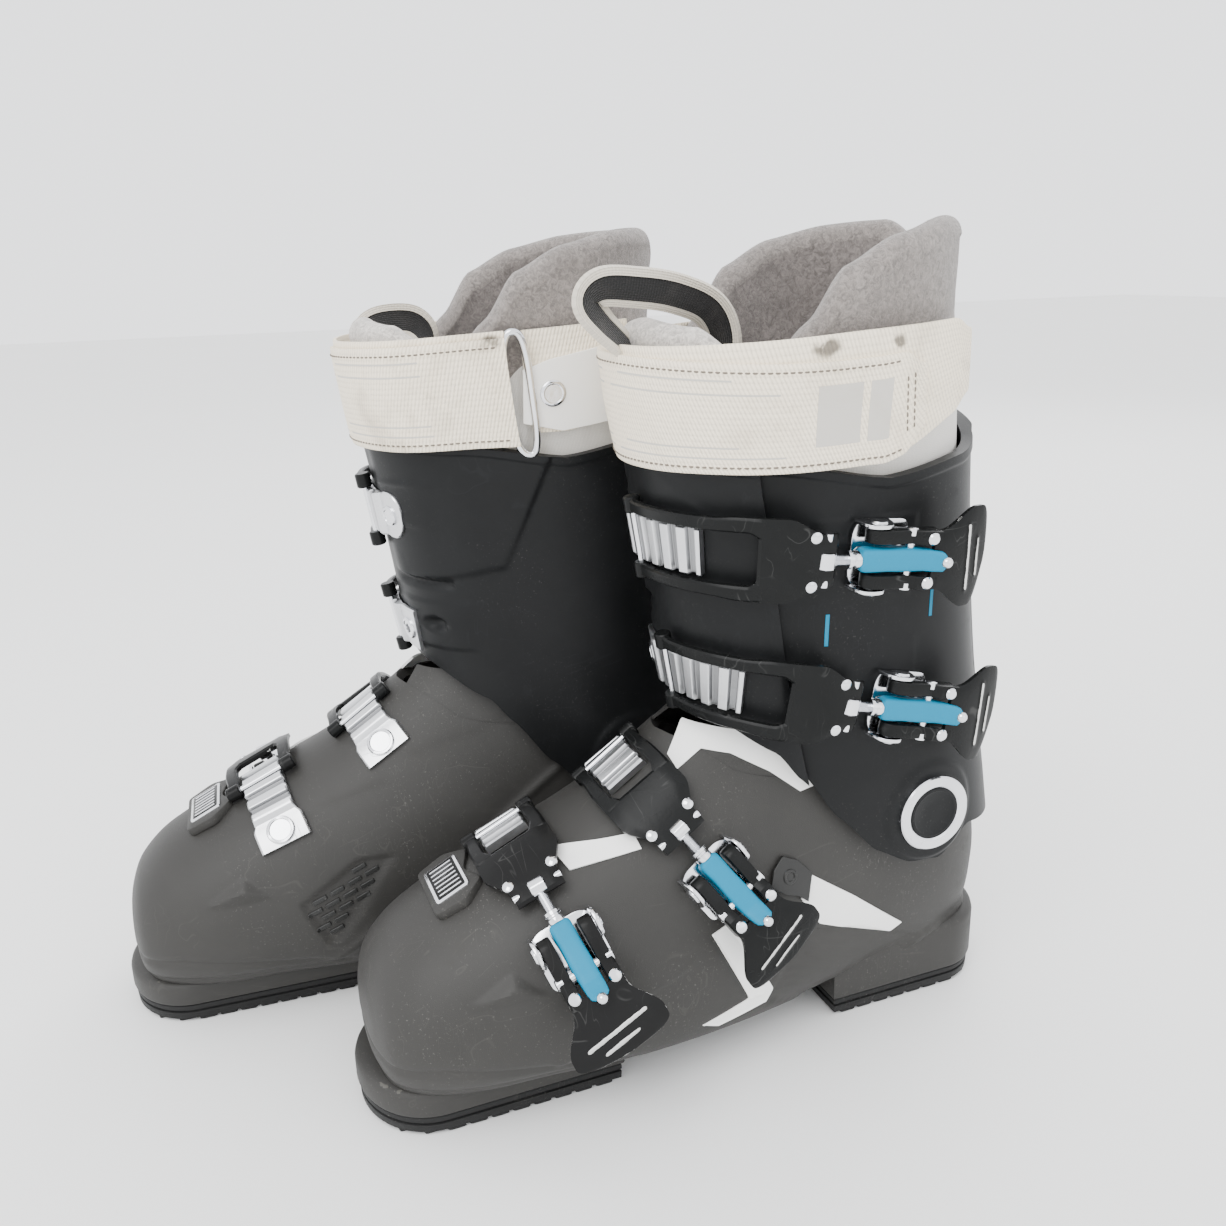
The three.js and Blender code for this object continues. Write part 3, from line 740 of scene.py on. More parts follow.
def shift(x: float = 0.0, y: float = 0.0, z: float = 0.0) -> Array:
    """A move by x, y, z.

    Args:
        x: distance along x.
        y: distance along y.
        z: distance along z.

    Returns:
        The 4 x 4 matrix.
    """
    m = np.eye(4)
    m[:3, 3] = (x, y, z)
    return m


def facing_y(x: float = 0.0, y: float = 0.0, z: float = 0.0) -> Array:
    """Carries a solid drawn along z so that it stands along y at x, y, z."""
    return frame_of(
        np.array([x, y, z]), np.array([0.0, 0, 1]), np.array([1.0, 0, 0]), np.array([0.0, 1, 0])
    )


def crosswise(x: float, y: float, z: float, hand: float = 1.0) -> Array:
    """Carries a solid drawn along z so that it points across the boot from x, y, z; back if hand is -1."""
    origin = np.array([x, y, z])
    return frame_of(origin, np.array([0.0, hand, 0]), np.array([0.0, 0, 1]), np.array([hand * 1.0, 0, 0]))


def rounded(corners: list[tuple[float, float]], radius: float, steps: int = 5) -> Array:
    """An outline with rounded corners: each corner becomes a quadratic curve between two points near it.

    Args:
        corners: the outline, counterclockwise.
        radius: how far from a corner its curve starts, at most 45% of an edge.
        steps: points on each curve.

    Returns:
        The outline's points.
    """
    p = np.array(corners, float)
    before, after = np.roll(p, 1, 0), np.roll(p, -1, 0)
    lb = np.linalg.norm(before - p, axis=1, keepdims=True)
    la = np.linalg.norm(after - p, axis=1, keepdims=True)
    start = p + (before - p) / lb * np.minimum(radius, 0.45 * lb)
    end = p + (after - p) / la * np.minimum(radius, 0.45 * la)
    t = np.linspace(0, 1, steps)[None, :, None]
    curve = (1 - t) ** 2 * start[:, None] + 2 * t * (1 - t) * p[:, None] + t**2 * end[:, None]
    return curve.reshape(-1, 2)


# ---- finishes ---------------------------------------------------------------------------------------


Colour = tuple[float, float, float]


def hexed(value: int) -> Colour:
    """An sRGB colour as linear red, green and blue.

    Args:
        value: red, green and blue as 0xRRGGBB.

    Returns:
        The linear colour.
    """
    parts = [(value >> shift_by & 255) / 255 for shift_by in (16, 8, 0)]
    r, g, b = (c / 12.92 if c <= 0.04045 else ((c + 0.055) / 1.055) ** 2.4 for c in parts)
    return (r, g, b)


class Graph:
    """A short way to write a shader's nodes and their links."""

    def __init__(self, tree: bpy.types.NodeTree) -> None:
        """Takes an empty node tree."""
        self.tree = tree

    def node(self, kind: str, inputs: dict | None = None, **settings: object) -> bpy.types.Node:
        """Adds a node, sets its properties, and sets or links its inputs.

        Args:
            kind: the node's type.
            inputs: values or output sockets, by input name or number.
            settings: the node's own properties.

        Returns:
            The node.
        """
        made = self.tree.nodes.new(kind)
        for key, value in settings.items():
            setattr(made, key, value)
        for key, value in (inputs or {}).items():
            if isinstance(value, bpy.types.NodeSocket):
                self.tree.links.new(value, made.inputs[key])
            else:
                made.inputs[key].default_value = (*value, 1.0) if isinstance(
                    value, tuple
                ) and len(value) == 3 and made.inputs[key].type == "RGBA" else value
        return made

    def math(self, operation: str, *values: object, clamp: bool = False) -> bpy.types.NodeSocket:
        """A Math node's result."""
        made = self.node("ShaderNodeMath", dict(enumerate(values)), operation=operation, use_clamp=clamp)
        return made.outputs[0]

    def times(self, a: object, b: object) -> bpy.types.NodeSocket:
        """a b."""
        return self.math("MULTIPLY", a, b)

    def plus(self, a: object, b: object, clamp: bool = False) -> bpy.types.NodeSocket:
        """a + b."""
        return self.math("ADD", a, b, clamp=clamp)

    def minus(self, a: object, b: object) -> bpy.types.NodeSocket:
        """a - b."""
        return self.math("SUBTRACT", a, b)

    def ramp(
        self, value: object, low: float, high: float, to_low: float = 0.0, to_high: float = 1.0
    ) -> bpy.types.NodeSocket:
        """A smooth step from `to_low` at `low` to `to_high` at `high`.

        Args:
            value: what drives the step.
            low: where it starts.
            high: where it ends.
            to_low: its value at the start.
            to_high: its value at the end.

        Returns:
            The result's socket.
        """
        inputs = {"Value": value, "From Min": low, "From Max": high, "To Min": to_low, "To Max": to_high}
        made = self.node("ShaderNodeMapRange", inputs, interpolation_type="SMOOTHSTEP")
        return made.outputs[0]

    def mix(self, factor: object, a: object, b: object, blend: str = "MIX") -> bpy.types.NodeSocket:
        """Two colours mixed.

        Args:
            factor: the share of b.
            a: first colour.
            b: second colour.
            blend: how they are mixed.

        Returns:
            The mixed colour's socket.
        """
        made = self.node("ShaderNodeMix", data_type="RGBA", blend_type=blend)
        for key, value in ((0, factor), (6, a), (7, b)):
            if isinstance(value, bpy.types.NodeSocket):
                self.tree.links.new(value, made.inputs[key])
            else:
                made.inputs[key].default_value = (*value, 1.0) if isinstance(value, tuple) else value
        return made.outputs[2]

    def noise(
        self, at: object, scale: float, detail: float = 3.0, rough: float = 0.5, warp: float = 0.0
    ) -> bpy.types.NodeSocket:
        """A noise texture's value at a place."""
        inputs = {"Vector": at, "Scale": scale, "Detail": detail, "Roughness": rough, "Distortion": warp}
        return self.node("ShaderNodeTexNoise", inputs).outputs[0]

    def attribute(self, name: str, what: str = "Fac") -> bpy.types.NodeSocket:
        """A mesh attribute's value (Fac) or vector (Vector)."""
        return self.node("ShaderNodeAttribute", attribute_name=name).outputs[what]

    def scaled(self, at: object, by: Colour) -> bpy.types.NodeSocket:
        """A place stretched by factors along x, y and z."""
        return self.node("ShaderNodeMapping", {"Vector": at, "Scale": by}).outputs[0]


class Group:
    """A node group that several finishes share, built once."""

    built: dict[str, bpy.types.NodeTree] = {}

    @classmethod
    def get(
        cls, name: str, inputs: dict[str, float], outputs: tuple[str, ...], draw: Callable
    ) -> bpy.types.NodeTree:
        """Returns the group, drawing it the first time.

        Args:
            name: the group's name.
            inputs: number inputs and their defaults, beside the place.
            outputs: number outputs.
            draw: a function of a Graph, the input sockets by name and the output node.

        Returns:
            The node tree.
        """
        if name not in cls.built:
            tree = bpy.data.node_groups.new(name, "ShaderNodeTree")
            tree.interface.new_socket("Place", in_out="INPUT", socket_type="NodeSocketVector")
            for key, value in inputs.items():
                tree.interface.new_socket(
                    key, in_out="INPUT", socket_type="NodeSocketFloat"
                ).default_value = value
            for key in outputs:
                tree.interface.new_socket(key, in_out="OUTPUT", socket_type="NodeSocketFloat")
            graph = Graph(tree)
            source = graph.node("NodeGroupInput")
            result = graph.node("NodeGroupOutput")
            values = draw(graph, {s.name: s for s in source.outputs if s.name})
            for key, value in zip(outputs, values):
                tree.links.new(value, result.inputs[key])
            cls.built[name] = tree
        return cls.built[name]


def grain(g: Graph, place: object, **values: float) -> bpy.types.Node:
    """Moulded plastic's surface: fine leather-like texture, broad cloudiness and dust.

    Args:
        g: the material's graph.
        place: where to read.
        values: the group's inputs, by name.

    Returns:
        The group node, with outputs Bump, Cloud and Dust.
    """

    def draw(n: Graph, i: dict) -> list:
        """Noise at three sizes.

        Args:
            n: the group's graph.
            i: the group's inputs, by name.

        Returns:
            The group's outputs, in order.
        """
        fine = n.noise(i["Place"], 2600, 2, 0.55)
        peel = n.noise(i["Place"], 420, 3, 0.5)
        cloud = n.noise(i["Place"], 22, 4, 0.6, 0.4)
        speck = n.noise(i["Place"], 900, 2, 0.7)
        patch = n.noise(i["Place"], 16, 3, 0.6)
        dust = n.times(n.ramp(speck, 0.62, 0.72), n.ramp(patch, 0.42, 0.68))
        bump = n.plus(n.times(fine, i["Fine"]), n.times(peel, i["Peel"]))
        return [bump, cloud, dust]

    tree = Group.get("moulded grain", {"Fine": 1.0, "Peel": 0.4}, ("Bump", "Cloud", "Dust"), draw)
    return g.node("ShaderNodeGroup", {"Place": place, **values}, node_tree=tree)


def scuffs(g: Graph, place: object, **values: float) -> bpy.types.Node:
    """Thin scratches in two directions, and rubbed patches.

    A scratch is where a stretched, warped noise crosses its middle value, kept only in patches.

    Args:
        g: the material's graph.
        place: where to read.
        values: the group's inputs, by name.

    Returns:
        The group node, with outputs Scratch and Rub.
    """

    def draw(n: Graph, i: dict) -> list:
        """Two families of lines and one of patches.

        Args:
            n: the group's graph.
            i: the group's inputs, by name.

        Returns:
            The group's outputs, in order.
        """
        lines = []
        for turn, scale, shift_by in (
            ((0.5, 0.35, 0.9), (26, 150, 60), 0.0), ((-0.9, 0.6, 0.2), (120, 24, 50), 3.1)
        ):
            inputs = {
                "Vector": i["Place"], "Rotation": turn, "Scale": scale, "Location": (shift_by, 0.0, 0.0)
            }
            at = n.node("ShaderNodeMapping", inputs).outputs[0]
            value = n.noise(at, 1.0, 1.5, 0.4, 0.7)
            off = n.math("ABSOLUTE", n.minus(value, 0.5))
            line = n.ramp(off, 0.0, n.times(i["Width"], 0.012), 1.0, 0.0)
            where = n.noise(i["Place"], 34 + 9 * shift_by, 2, 0.5)
            lines.append(n.times(line, n.ramp(where, 0.5, 0.62)))
        rub = n.noise(i["Place"], 58, 5, 0.68, 0.5)
        return [n.times(n.math("MAXIMUM", *lines), i["Amount"]), n.ramp(rub, 0.56, 0.74)]

    tree = Group.get("scuffs", {"Width": 1.0, "Amount": 1.0}, ("Scratch", "Rub"), draw)
    return g.node("ShaderNodeGroup", {"Place": place, **values}, node_tree=tree)


def edge_wear(g: Graph, place: object, **values: float) -> bpy.types.Node:
    """Where the edges have lost their paint: the piece's wear mark broken up by noise.

    Args:
        g: the material's graph.
        place: where to read.
        values: the group's inputs, by name.

    Returns:
        The group node, with output Bare.
    """

    def draw(n: Graph, i: dict) -> list:
        """Mark plus noise, past a threshold.

        Args:
            n: the group's graph.
            i: the group's inputs, by name.

        Returns:
            The group's outputs, in order.
        """
        chips = n.noise(i["Place"], 240, 4, 0.62, 0.3)
        broad = n.noise(i["Place"], 40, 2, 0.5)
        value = n.plus(n.times(chips, 0.75), n.times(broad, 0.45))
        value = n.plus(value, n.times(n.minus(i["Mark"], 1.0), 0.8))
        edge = n.minus(0.86, n.times(i["Amount"], 0.42))
        return [n.ramp(n.minus(value, edge), 0.0, 0.03)]

    tree = Group.get("edge wear", {"Mark": 0.0, "Amount": 0.5}, ("Bare",), draw)
    return g.node("ShaderNodeGroup", {"Place": place, **values}, node_tree=tree)


def weave(g: Graph, place: object, **values: float) -> bpy.types.Node:
    """A plain or ribbed weave on a cloth's own u, v, in threads to the metre.

    The height is the larger of two rows of rounded threads, each |sin| of one coordinate times a
    slower swell of the other, half a thread out of step from row to row.

    Args:
        g: the material's graph.
        place: the cloth's u, v in metres.
        values: the group's inputs, by name.

    Returns:
        The group node, with outputs Height and Thread.
    """

    def draw(n: Graph, i: dict) -> list:
        """Warp and weft rows.

        Args:
            n: the group's graph.
            i: the group's inputs, by name.

        Returns:
            The group's outputs, in order.
        """
        split = n.node("ShaderNodeSeparateXYZ", {0: i["Place"]})
        u = n.times(split.outputs[0], i["Along"])
        v = n.times(split.outputs[1], i["Across"])
        u = n.plus(u, n.times(v, i["Slant"]))
        warp = n.math("ABSOLUTE", n.math("SINE", n.times(u, math.pi)))
        weft = n.math("ABSOLUTE", n.math("SINE", n.times(v, math.pi)))
        step = n.math("PINGPONG", n.plus(n.math("FLOOR", u), n.math("FLOOR", v)), 1.0)
        height = n.plus(n.times(warp, n.plus(0.6, n.times(step, 0.4))), n.times(weft, 0.35))
        return [height, step]

    tree = Group.get("weave", {"Along": 900.0, "Across": 900.0, "Slant": 0.0}, ("Height", "Thread"), draw)
    return g.node("ShaderNodeGroup", {"Place": place, **values}, node_tree=tree)


@dataclass(frozen=True)
class Finish:
    """A procedural material; each kind draws its own nodes in `draw`."""

    name: str
    colour: Colour

    def shader(self, g: Graph, inputs: dict) -> None:
        """Adds the Principled BSDF with these inputs, and the material's output."""
        surface = g.node("ShaderNodeBsdfPrincipled", inputs)
        g.tree.links.new(surface.outputs[0], g.node("ShaderNodeOutputMaterial").inputs[0])

    def bump(self, g: Graph, height: object, metres: float, strength: float = 1.0) -> bpy.types.NodeSocket:
        """A Bump node's normal for a height of so many metres."""
        inputs = {"Height": height, "Distance": metres, "Strength": strength}
        return g.node("ShaderNodeBump", inputs).outputs[0]

    def draw(self, g: Graph) -> None:
        """Draws the nodes."""
        raise NotImplementedError

    @property
    def material(self) -> bpy.types.Material:
        """The material, made the first time.

        Returns:
            The material.
        """
        found = bpy.data.materials.get(self.name)
        if found:
            return found
        made = bpy.data.materials.new(self.name)
        made.use_nodes = True
        made.node_tree.nodes.clear()
        made.diffuse_color = (*self.colour, 1.0)
        self.draw(Graph(made.node_tree))
        return made


@dataclass(frozen=True)
class Moulded(Finish):
    """Moulded plastic: grain, cloudiness, scratches, dust, edges rubbed paler."""

    rough: float = 0.5
    worn: Colour = (0.2, 0.2, 0.19)
    scratch: float = 0.5
    texture: float = 0.00006
    dusty: float = 0.25
    cloudy: float = 0.35
    wear: float = 0.25
    shine: float = 0.5

    def draw(self, g: Graph) -> None:
        """Base colour from cloud, scratches, dust and worn edges; roughness and bump with them.

        Args:
            g: the material's graph.
        """
        place = g.attribute("boot", "Vector")
        skin = grain(g, place, Fine=1.0, Peel=0.35)
        marks = scuffs(g, place, Width=1.0, Amount=self.scratch)
        bare = edge_wear(g, place, Mark=g.attribute("wear"), Amount=self.wear).outputs["Bare"]
        dark = tuple(c * 0.82 for c in self.colour)
        pale = tuple(min(c * 1.22 + 0.006, 1) for c in self.colour)
        base = g.mix(skin.outputs["Cloud"], dark, pale)
        base = g.mix(g.times(marks.outputs["Rub"], 0.16 * self.scratch), base, self.worn)
        base = g.mix(g.times(marks.outputs["Scratch"], 0.3), base, self.worn)
        base = g.mix(g.times(bare, 0.5), base, self.worn)
        base = g.mix(g.times(skin.outputs["Dust"], self.dusty), base, (0.4, 0.38, 0.35))
        rough = g.plus(self.rough - 0.25 * self.cloudy, g.times(skin.outputs["Cloud"], 0.5 * self.cloudy))
        rough = g.plus(rough, g.times(marks.outputs["Rub"], 0.12), clamp=True)
        height = g.minus(skin.outputs["Bump"], g.times(marks.outputs["Scratch"], 1.2))
        inputs = {"Base Color": base, "Roughness": rough, "Normal": self.bump(g, height, self.texture)}
        self.shader(g, {**inputs, "Specular IOR Level": self.shine})


@dataclass(frozen=True)
class Metal(Finish):
    """Cast or pressed metal: fine grain, tarnish in patches, hairline scratches, painted shade where the
    mark is high.
    """

    rough: float = 0.2
    texture: float = 0.00003
    tarnish: float = 0.3

    def draw(self, g: Graph) -> None:
        """Brightness and roughness vary together with the tarnish; the mark darkens it as painted shade.

        Args:
            g: the material's graph.
        """
        place = g.attribute("boot", "Vector")
        skin = grain(g, place, Fine=0.6, Peel=1.0)
        marks = scuffs(g, place, Width=0.8, Amount=0.8)
        stain = g.times(g.ramp(skin.outputs["Cloud"], 0.45, 0.75), self.tarnish)
        dull = tuple(c * 0.6 for c in self.colour)
        base = g.mix(stain, self.colour, dull)
        base = g.mix(g.times(skin.outputs["Dust"], 0.35), base, (0.1, 0.095, 0.09))
        # painted shade: the mark (attribute "wear") darkens the metal, in the ladder's gullies between
        # teeth
        base = g.mix(g.times(g.attribute("wear"), 0.85), base, (0.04, 0.04, 0.042))
        rough = g.plus(self.rough, g.times(stain, 0.5))
        rough = g.plus(rough, g.times(marks.outputs["Scratch"], 0.2), clamp=True)
        height = g.minus(skin.outputs["Bump"], marks.outputs["Scratch"])
        self.shader(
            g,
            {
                "Base Color": base,
                "Metallic": 1.0,
                "Roughness": rough,
                "Normal": self.bump(g, height, self.texture)
            }
        )


@dataclass(frozen=True)
class Painted(Finish):
    """Painted metal: a coat over a cast skin, chipped to bare metal where the wear mark is high."""

    rough: float = 0.28
    chip: float = 0.5
    metal: Colour = (0.62, 0.62, 0.6)
    texture: float = 0.00005

    def draw(self, g: Graph) -> None:
        """Paint or metal by the chips' mask; a chip's rim steps down.

        Args:
            g: the material's graph.
        """
        place = g.attribute("boot", "Vector")
        skin = grain(g, place, Fine=0.35, Peel=1.0)
        marks = scuffs(g, place, Width=0.9, Amount=0.7)
        bare = edge_wear(g, place, Mark=g.attribute("wear"), Amount=self.chip).outputs["Bare"]
        pale = tuple(min(c * 1.5 + 0.008, 1) for c in self.colour)
        base = g.mix(skin.outputs["Cloud"], self.colour, pale)
        base = g.mix(g.times(marks.outputs["Scratch"], 0.12), base, (0.3, 0.3, 0.29))
        base = g.mix(bare, base, self.metal)
        rough = g.plus(self.rough, g.times(skin.outputs["Cloud"], 0.14))
        rough = g.plus(rough, g.times(marks.outputs["Rub"], 0.16), clamp=True)
        height = g.minus(skin.outputs["Bump"], g.times(bare, 2.2))
        inputs = {
            "Base Color": base,
            "Metallic": bare,
            "Roughness": rough,
            "Normal": self.bump(g, height, self.texture)
        }
        self.shader(g, {**inputs, "Specular IOR Level": 0.12})


@dataclass(frozen=True)
class Fleece(Finish):
    """Brushed felt or fleece: matted fibres, pills and a soft sheen."""

    fibre: float = 0.0006
    sheen: float = 0.35

    def draw(self, g: Graph) -> None:
        """Short stretched noise for fibres over rounder matting.

        Args:
            g: the material's graph.
        """
        place = g.attribute("boot", "Vector")
        mat = g.noise(place, 420, 4, 0.65, 1.2)
        hairs = g.noise(g.scaled(place, (900.0, 2600.0, 700.0)), 1.0, 3, 0.6, 2.0)
        cloud = g.noise(place, 45, 4, 0.6)
        height = g.plus(mat, g.times(hairs, 0.5))
        dark = tuple(c * 0.55 for c in self.colour)
        pale = tuple(min(c * 1.3, 1) for c in self.colour)
        base = g.mix(g.ramp(height, 0.5, 1.0), dark, pale)
        base = g.mix(g.ramp(cloud, 0.35, 0.7, 0.0, 0.25), base, dark)
        inputs = {
            "Base Color": base, "Roughness": 0.95, "Specular IOR Level": 0.2, "Sheen Weight": self.sheen
        }
        self.shader(g, {**inputs, "Sheen Roughness": 0.5, "Normal": self.bump(g, height, self.fibre)})


@dataclass(frozen=True)
class Woven(Finish):
    """Woven cloth on its own u, v: threads, soiling, ink-like stains where the wear mark is high."""

    along: float = 850.0
    across: float = 700.0
    slant: float = 0.0
    depth: float = 0.00022
    dirt: Colour = (0.3, 0.24, 0.17)
    dirty: float = 0.25

    def draw(self, g: Graph) -> None:
        """Thread height for bump, and for colour as painted shade where the threads dip; noise for dirt.

        Args:
            g: the material's graph.
        """
        cloth = g.node("ShaderNodeUVMap", uv_map="UVMap").outputs[0]
        place = g.attribute("boot", "Vector")
        threads = weave(g, cloth, Along=self.along, Across=self.across, Slant=self.slant)
        fuzz = g.noise(place, 1800, 3, 0.7)
        cloud = g.noise(place, 30, 5, 0.65, 0.6)
        blot = g.noise(place, 75, 4, 0.6, 0.5)
        height = g.plus(threads.outputs["Height"], g.times(fuzz, 0.5))
        # painted shade: the colour darkens where the threads dip between each other
        dark = tuple(c * 0.78 for c in self.colour)
        base = g.mix(g.ramp(height, 0.3, 1.2), dark, self.colour)
        base = g.mix(g.ramp(cloud, 0.46, 0.75, 0.0, self.dirty), base, self.dirt)
        ink = g.times(g.attribute("wear"), g.ramp(blot, 0.3, 0.62))
        base = g.mix(g.ramp(ink, 0.12, 0.6, 0.0, 0.85), base, tuple(c * 0.25 for c in self.dirt))
        inputs = {"Base Color": base, "Roughness": 0.85, "Specular IOR Level": 0.3, "Sheen Weight": 0.15}
        self.shader(g, {**inputs, "Sheen Roughness": 0.6, "Normal": self.bump(g, height, self.depth)})


@dataclass(frozen=True)
class Plain(Finish):
    """A smooth plastic or lacquer with faint cloudiness."""

    rough: float = 0.35
    metallic: float = 0.0
    coat: float = 0.0
    shine: float = 0.5
    vary: float = 0.15
    texture: float = 0.00002

    def draw(self, g: Graph) -> None:
        """Cloudy colour and roughness, slight orange peel.

        Args:
            g: the material's graph.
        """
        place = g.attribute("boot", "Vector")
        skin = grain(g, place, Fine=0.4, Peel=1.0)
        marks = scuffs(g, place, Width=0.8, Amount=0.6)
        low = tuple(c * (1 - self.vary) for c in self.colour)
        high = tuple(min(c * (1 + self.vary), 1) for c in self.colour)
        base = g.mix(skin.outputs["Cloud"], low, high)
        base = g.mix(g.times(marks.outputs["Scratch"], 0.3), base, low)
        base = g.mix(g.times(skin.outputs["Dust"], 0.2), base, (0.3, 0.28, 0.25))
        rough = g.plus(self.rough, g.times(marks.outputs["Rub"], 0.12), clamp=True)
        inputs = {
            "Base Color": base, "Roughness": rough, "Metallic": self.metallic, "Coat Weight": self.coat
        }
        inputs["Specular IOR Level"] = self.shine
        self.shader(g, {**inputs, "Normal": self.bump(g, skin.outputs["Bump"], self.texture)})


SHELL = Moulded(
    "shell plastic",
    hexed(0x2B2A28),
    rough=0.54,
    worn=hexed(0x62605A),
    scratch=0.3,
    wear=0.3,
    shine=0.3,
    dusty=0.14
)
SHELL_GLOSS = Moulded(
    "shell plastic, smooth",
    hexed(0x1C1C1B),
    rough=0.34,
    worn=hexed(0x4A4946),
    scratch=0.2,
    texture=0.00003,
    shine=0.35
)
CUFF = Moulded(
    "cuff plastic",
    hexed(0x0E0F10),
    rough=0.42,
    worn=hexed(0x404246),
    scratch=0.14,
    texture=0.00004,
    wear=0.22,
    shine=0.15,
    dusty=0.06
)
SOLE = Moulded(
    "sole plate",
    hexed(0x0D0D0D),
    rough=0.6,
    worn=hexed(0x3A3936),
    scratch=0.8,
    texture=0.0001,
    dusty=0.2,
    shine=0.3
)
SCREW = Metal("dark screw", hexed(0x55565A), rough=0.35)
INSERT = Plain("white insert", hexed(0xF6F6F3), rough=0.4, vary=0.06)
CHROME = Metal("bright steel", hexed(0xE2E3E6), rough=0.12, texture=0.00001, tarnish=0.22)
CAST = Metal("cast ladder", hexed(0xD3D4D6), rough=0.3, texture=0.00004, tarnish=0.35)
BLACK_PAINT = Painted("black enamel", hexed(0x070808), rough=0.2, chip=0.42)
TOE_PAINT = Painted("black enamel, battered", hexed(0x080808), rough=0.24, chip=0.72)
TURQUOISE = Plain("turquoise lacquer", hexed(0x00789A), rough=0.4, shine=0.15, vary=0.1)
FLEECE = Fleece("grey fleece", hexed(0x857E79))
# a darker copy of the grey fleece for the liner's inside faces: painted shade
SHADED_FLEECE = Fleece("grey fleece, painted shade", hexed(0x7C7571), fibre=0.0005)
FELT = Fleece("tongue felt", hexed(0xC6C0B9), fibre=0.0003)
SKIN = Woven("liner skin", hexed(0xDCD9D3), along=1500.0, across=1500.0, depth=0.0001, dirty=0.18)
WEBBING = Woven(
    "strap webbing", hexed(0xFFF2DA), along=640.0, across=430.0, slant=0.5, depth=0.0004, dirty=0.42
)
THREAD = Plain("stitching", hexed(0x6E655A), rough=0.8)
PATCH = Woven("pale patch", hexed(0xDAD5CC), along=1300.0, across=1300.0, dirty=0.2)
TAB_PLASTIC = Plain("white tab", hexed(0xEDEBE6), rough=0.3, vary=0.05)
BLACK_WEB = Woven("black tape", hexed(0x0A0909), along=1100.0, across=900.0, dirt=(0.1, 0.09, 0.08))
CREAM_EDGE = Woven("cream tape edge", hexed(0xCFC7B8), along=1100.0, across=900.0)


# ---- where the buckles lie --------------------------------------------------------------------------


def cuff_lift(angle: Array) -> Array:
    """How far the cuff's outer flap stands off its form: up between -56 and -26 degrees."""
    return FLAP_LIFT * ease(angle, -56, -26)


def over_flap(angle: Array, to: float) -> Array:
    """The flap's lift, let down again between 45 degrees and `to`."""
    return FLAP_LIFT * (1 - ease(angle, 45, to))


@dataclass(frozen=True)
class Strap:
    """The line that one buckle follows round the boot, measured from its lever's rivets."""

    form: Form
    section: float
    angle: float
    raised: bool

    def surface(self, angle: Array) -> Array:
        """The boot's outside along the line."""
        lift = over_flap(angle, 72) if self.raised else np.zeros(np.shape(angle))
        return self.form.offset(self.section, angle, lift)

    def frames(self, arc: Array) -> tuple[Array, Array, Array, Array]:
        """Origin and directions across, onward and out, at arcs along the line.

        Args:
            arc: distances along the line from the lever's rivets, millimetres.

        Returns:
            The origin, across, onward and out, for each arc.
        """
        angles = np.arange(self.angle + 40, -112, -1.0)
        arcs = lengths(self.surface(angles))
        angle = np.interp(arc, arcs - arcs[40], angles)
        onward = unit(self.surface(angle - 1.5) - self.surface(angle + 1.5))
        across = unit(np.cross(onward, self.form.normal(self.section, angle)))
        return self.surface(angle), across, onward, np.cross(across, onward)

    def carry(self, p: Array) -> Array:
        """Bends points (across, onward, out) round the boot."""
        o, across, _, out = self.frames(p[..., 1])
        return o + across * p[..., :1] + out * p[..., 2:]

    def frame(self, arc: float) -> Array:
        """The rigid frame at an arc."""
        o, across, onward, out = self.frames(np.array(arc))
        return frame_of(o, across, onward, out)


def resampled(points: list[tuple[float, float]], n: int) -> Array:
    """n points evenly along a polyline.

    Args:
        points: the polyline's corners.
        n: how many points.

    Returns:
        The points, shape (n, 2).
    """
    p = np.array(points, float)
    s = lengths(p)
    t = np.linspace(0, s[-1], n)
    return np.stack([np.interp(t, s, p[:, 0]), np.interp(t, s, p[:, 1])], -1)


def oval_front(half: float, end: float, length: float, round_by: float, inset: float, heel: bool) -> Array:
    """A lug's outline from above, counterclockwise: straight sides and a half-ellipse end.

    Args:
        half: half the lug's width.
        end: how far the lug's end lies from the sole's middle.
        length: the lug's length.
        round_by: length of the round end.
        inset: how far inside the lug the outline runs.
        heel: whether the round end faces the heel.

    Returns:
        Points x, y.
    """
    a = np.linspace(0, np.pi, 33)
    round_end = np.stack([(half - inset) * np.cos(a), end - round_by + (round_by - inset) * np.sin(a)], -1)
    straight = [[-(half - inset), end - length], [half - inset, end - length]]
    side = np.linspace(straight[1], round_end[0], 12)[:-1]
    outline = np.concatenate([side, round_end, [straight[0]]])
    return outline if heel else outline * -1


# ---- the shell --------------------------------------------------------------------------------------


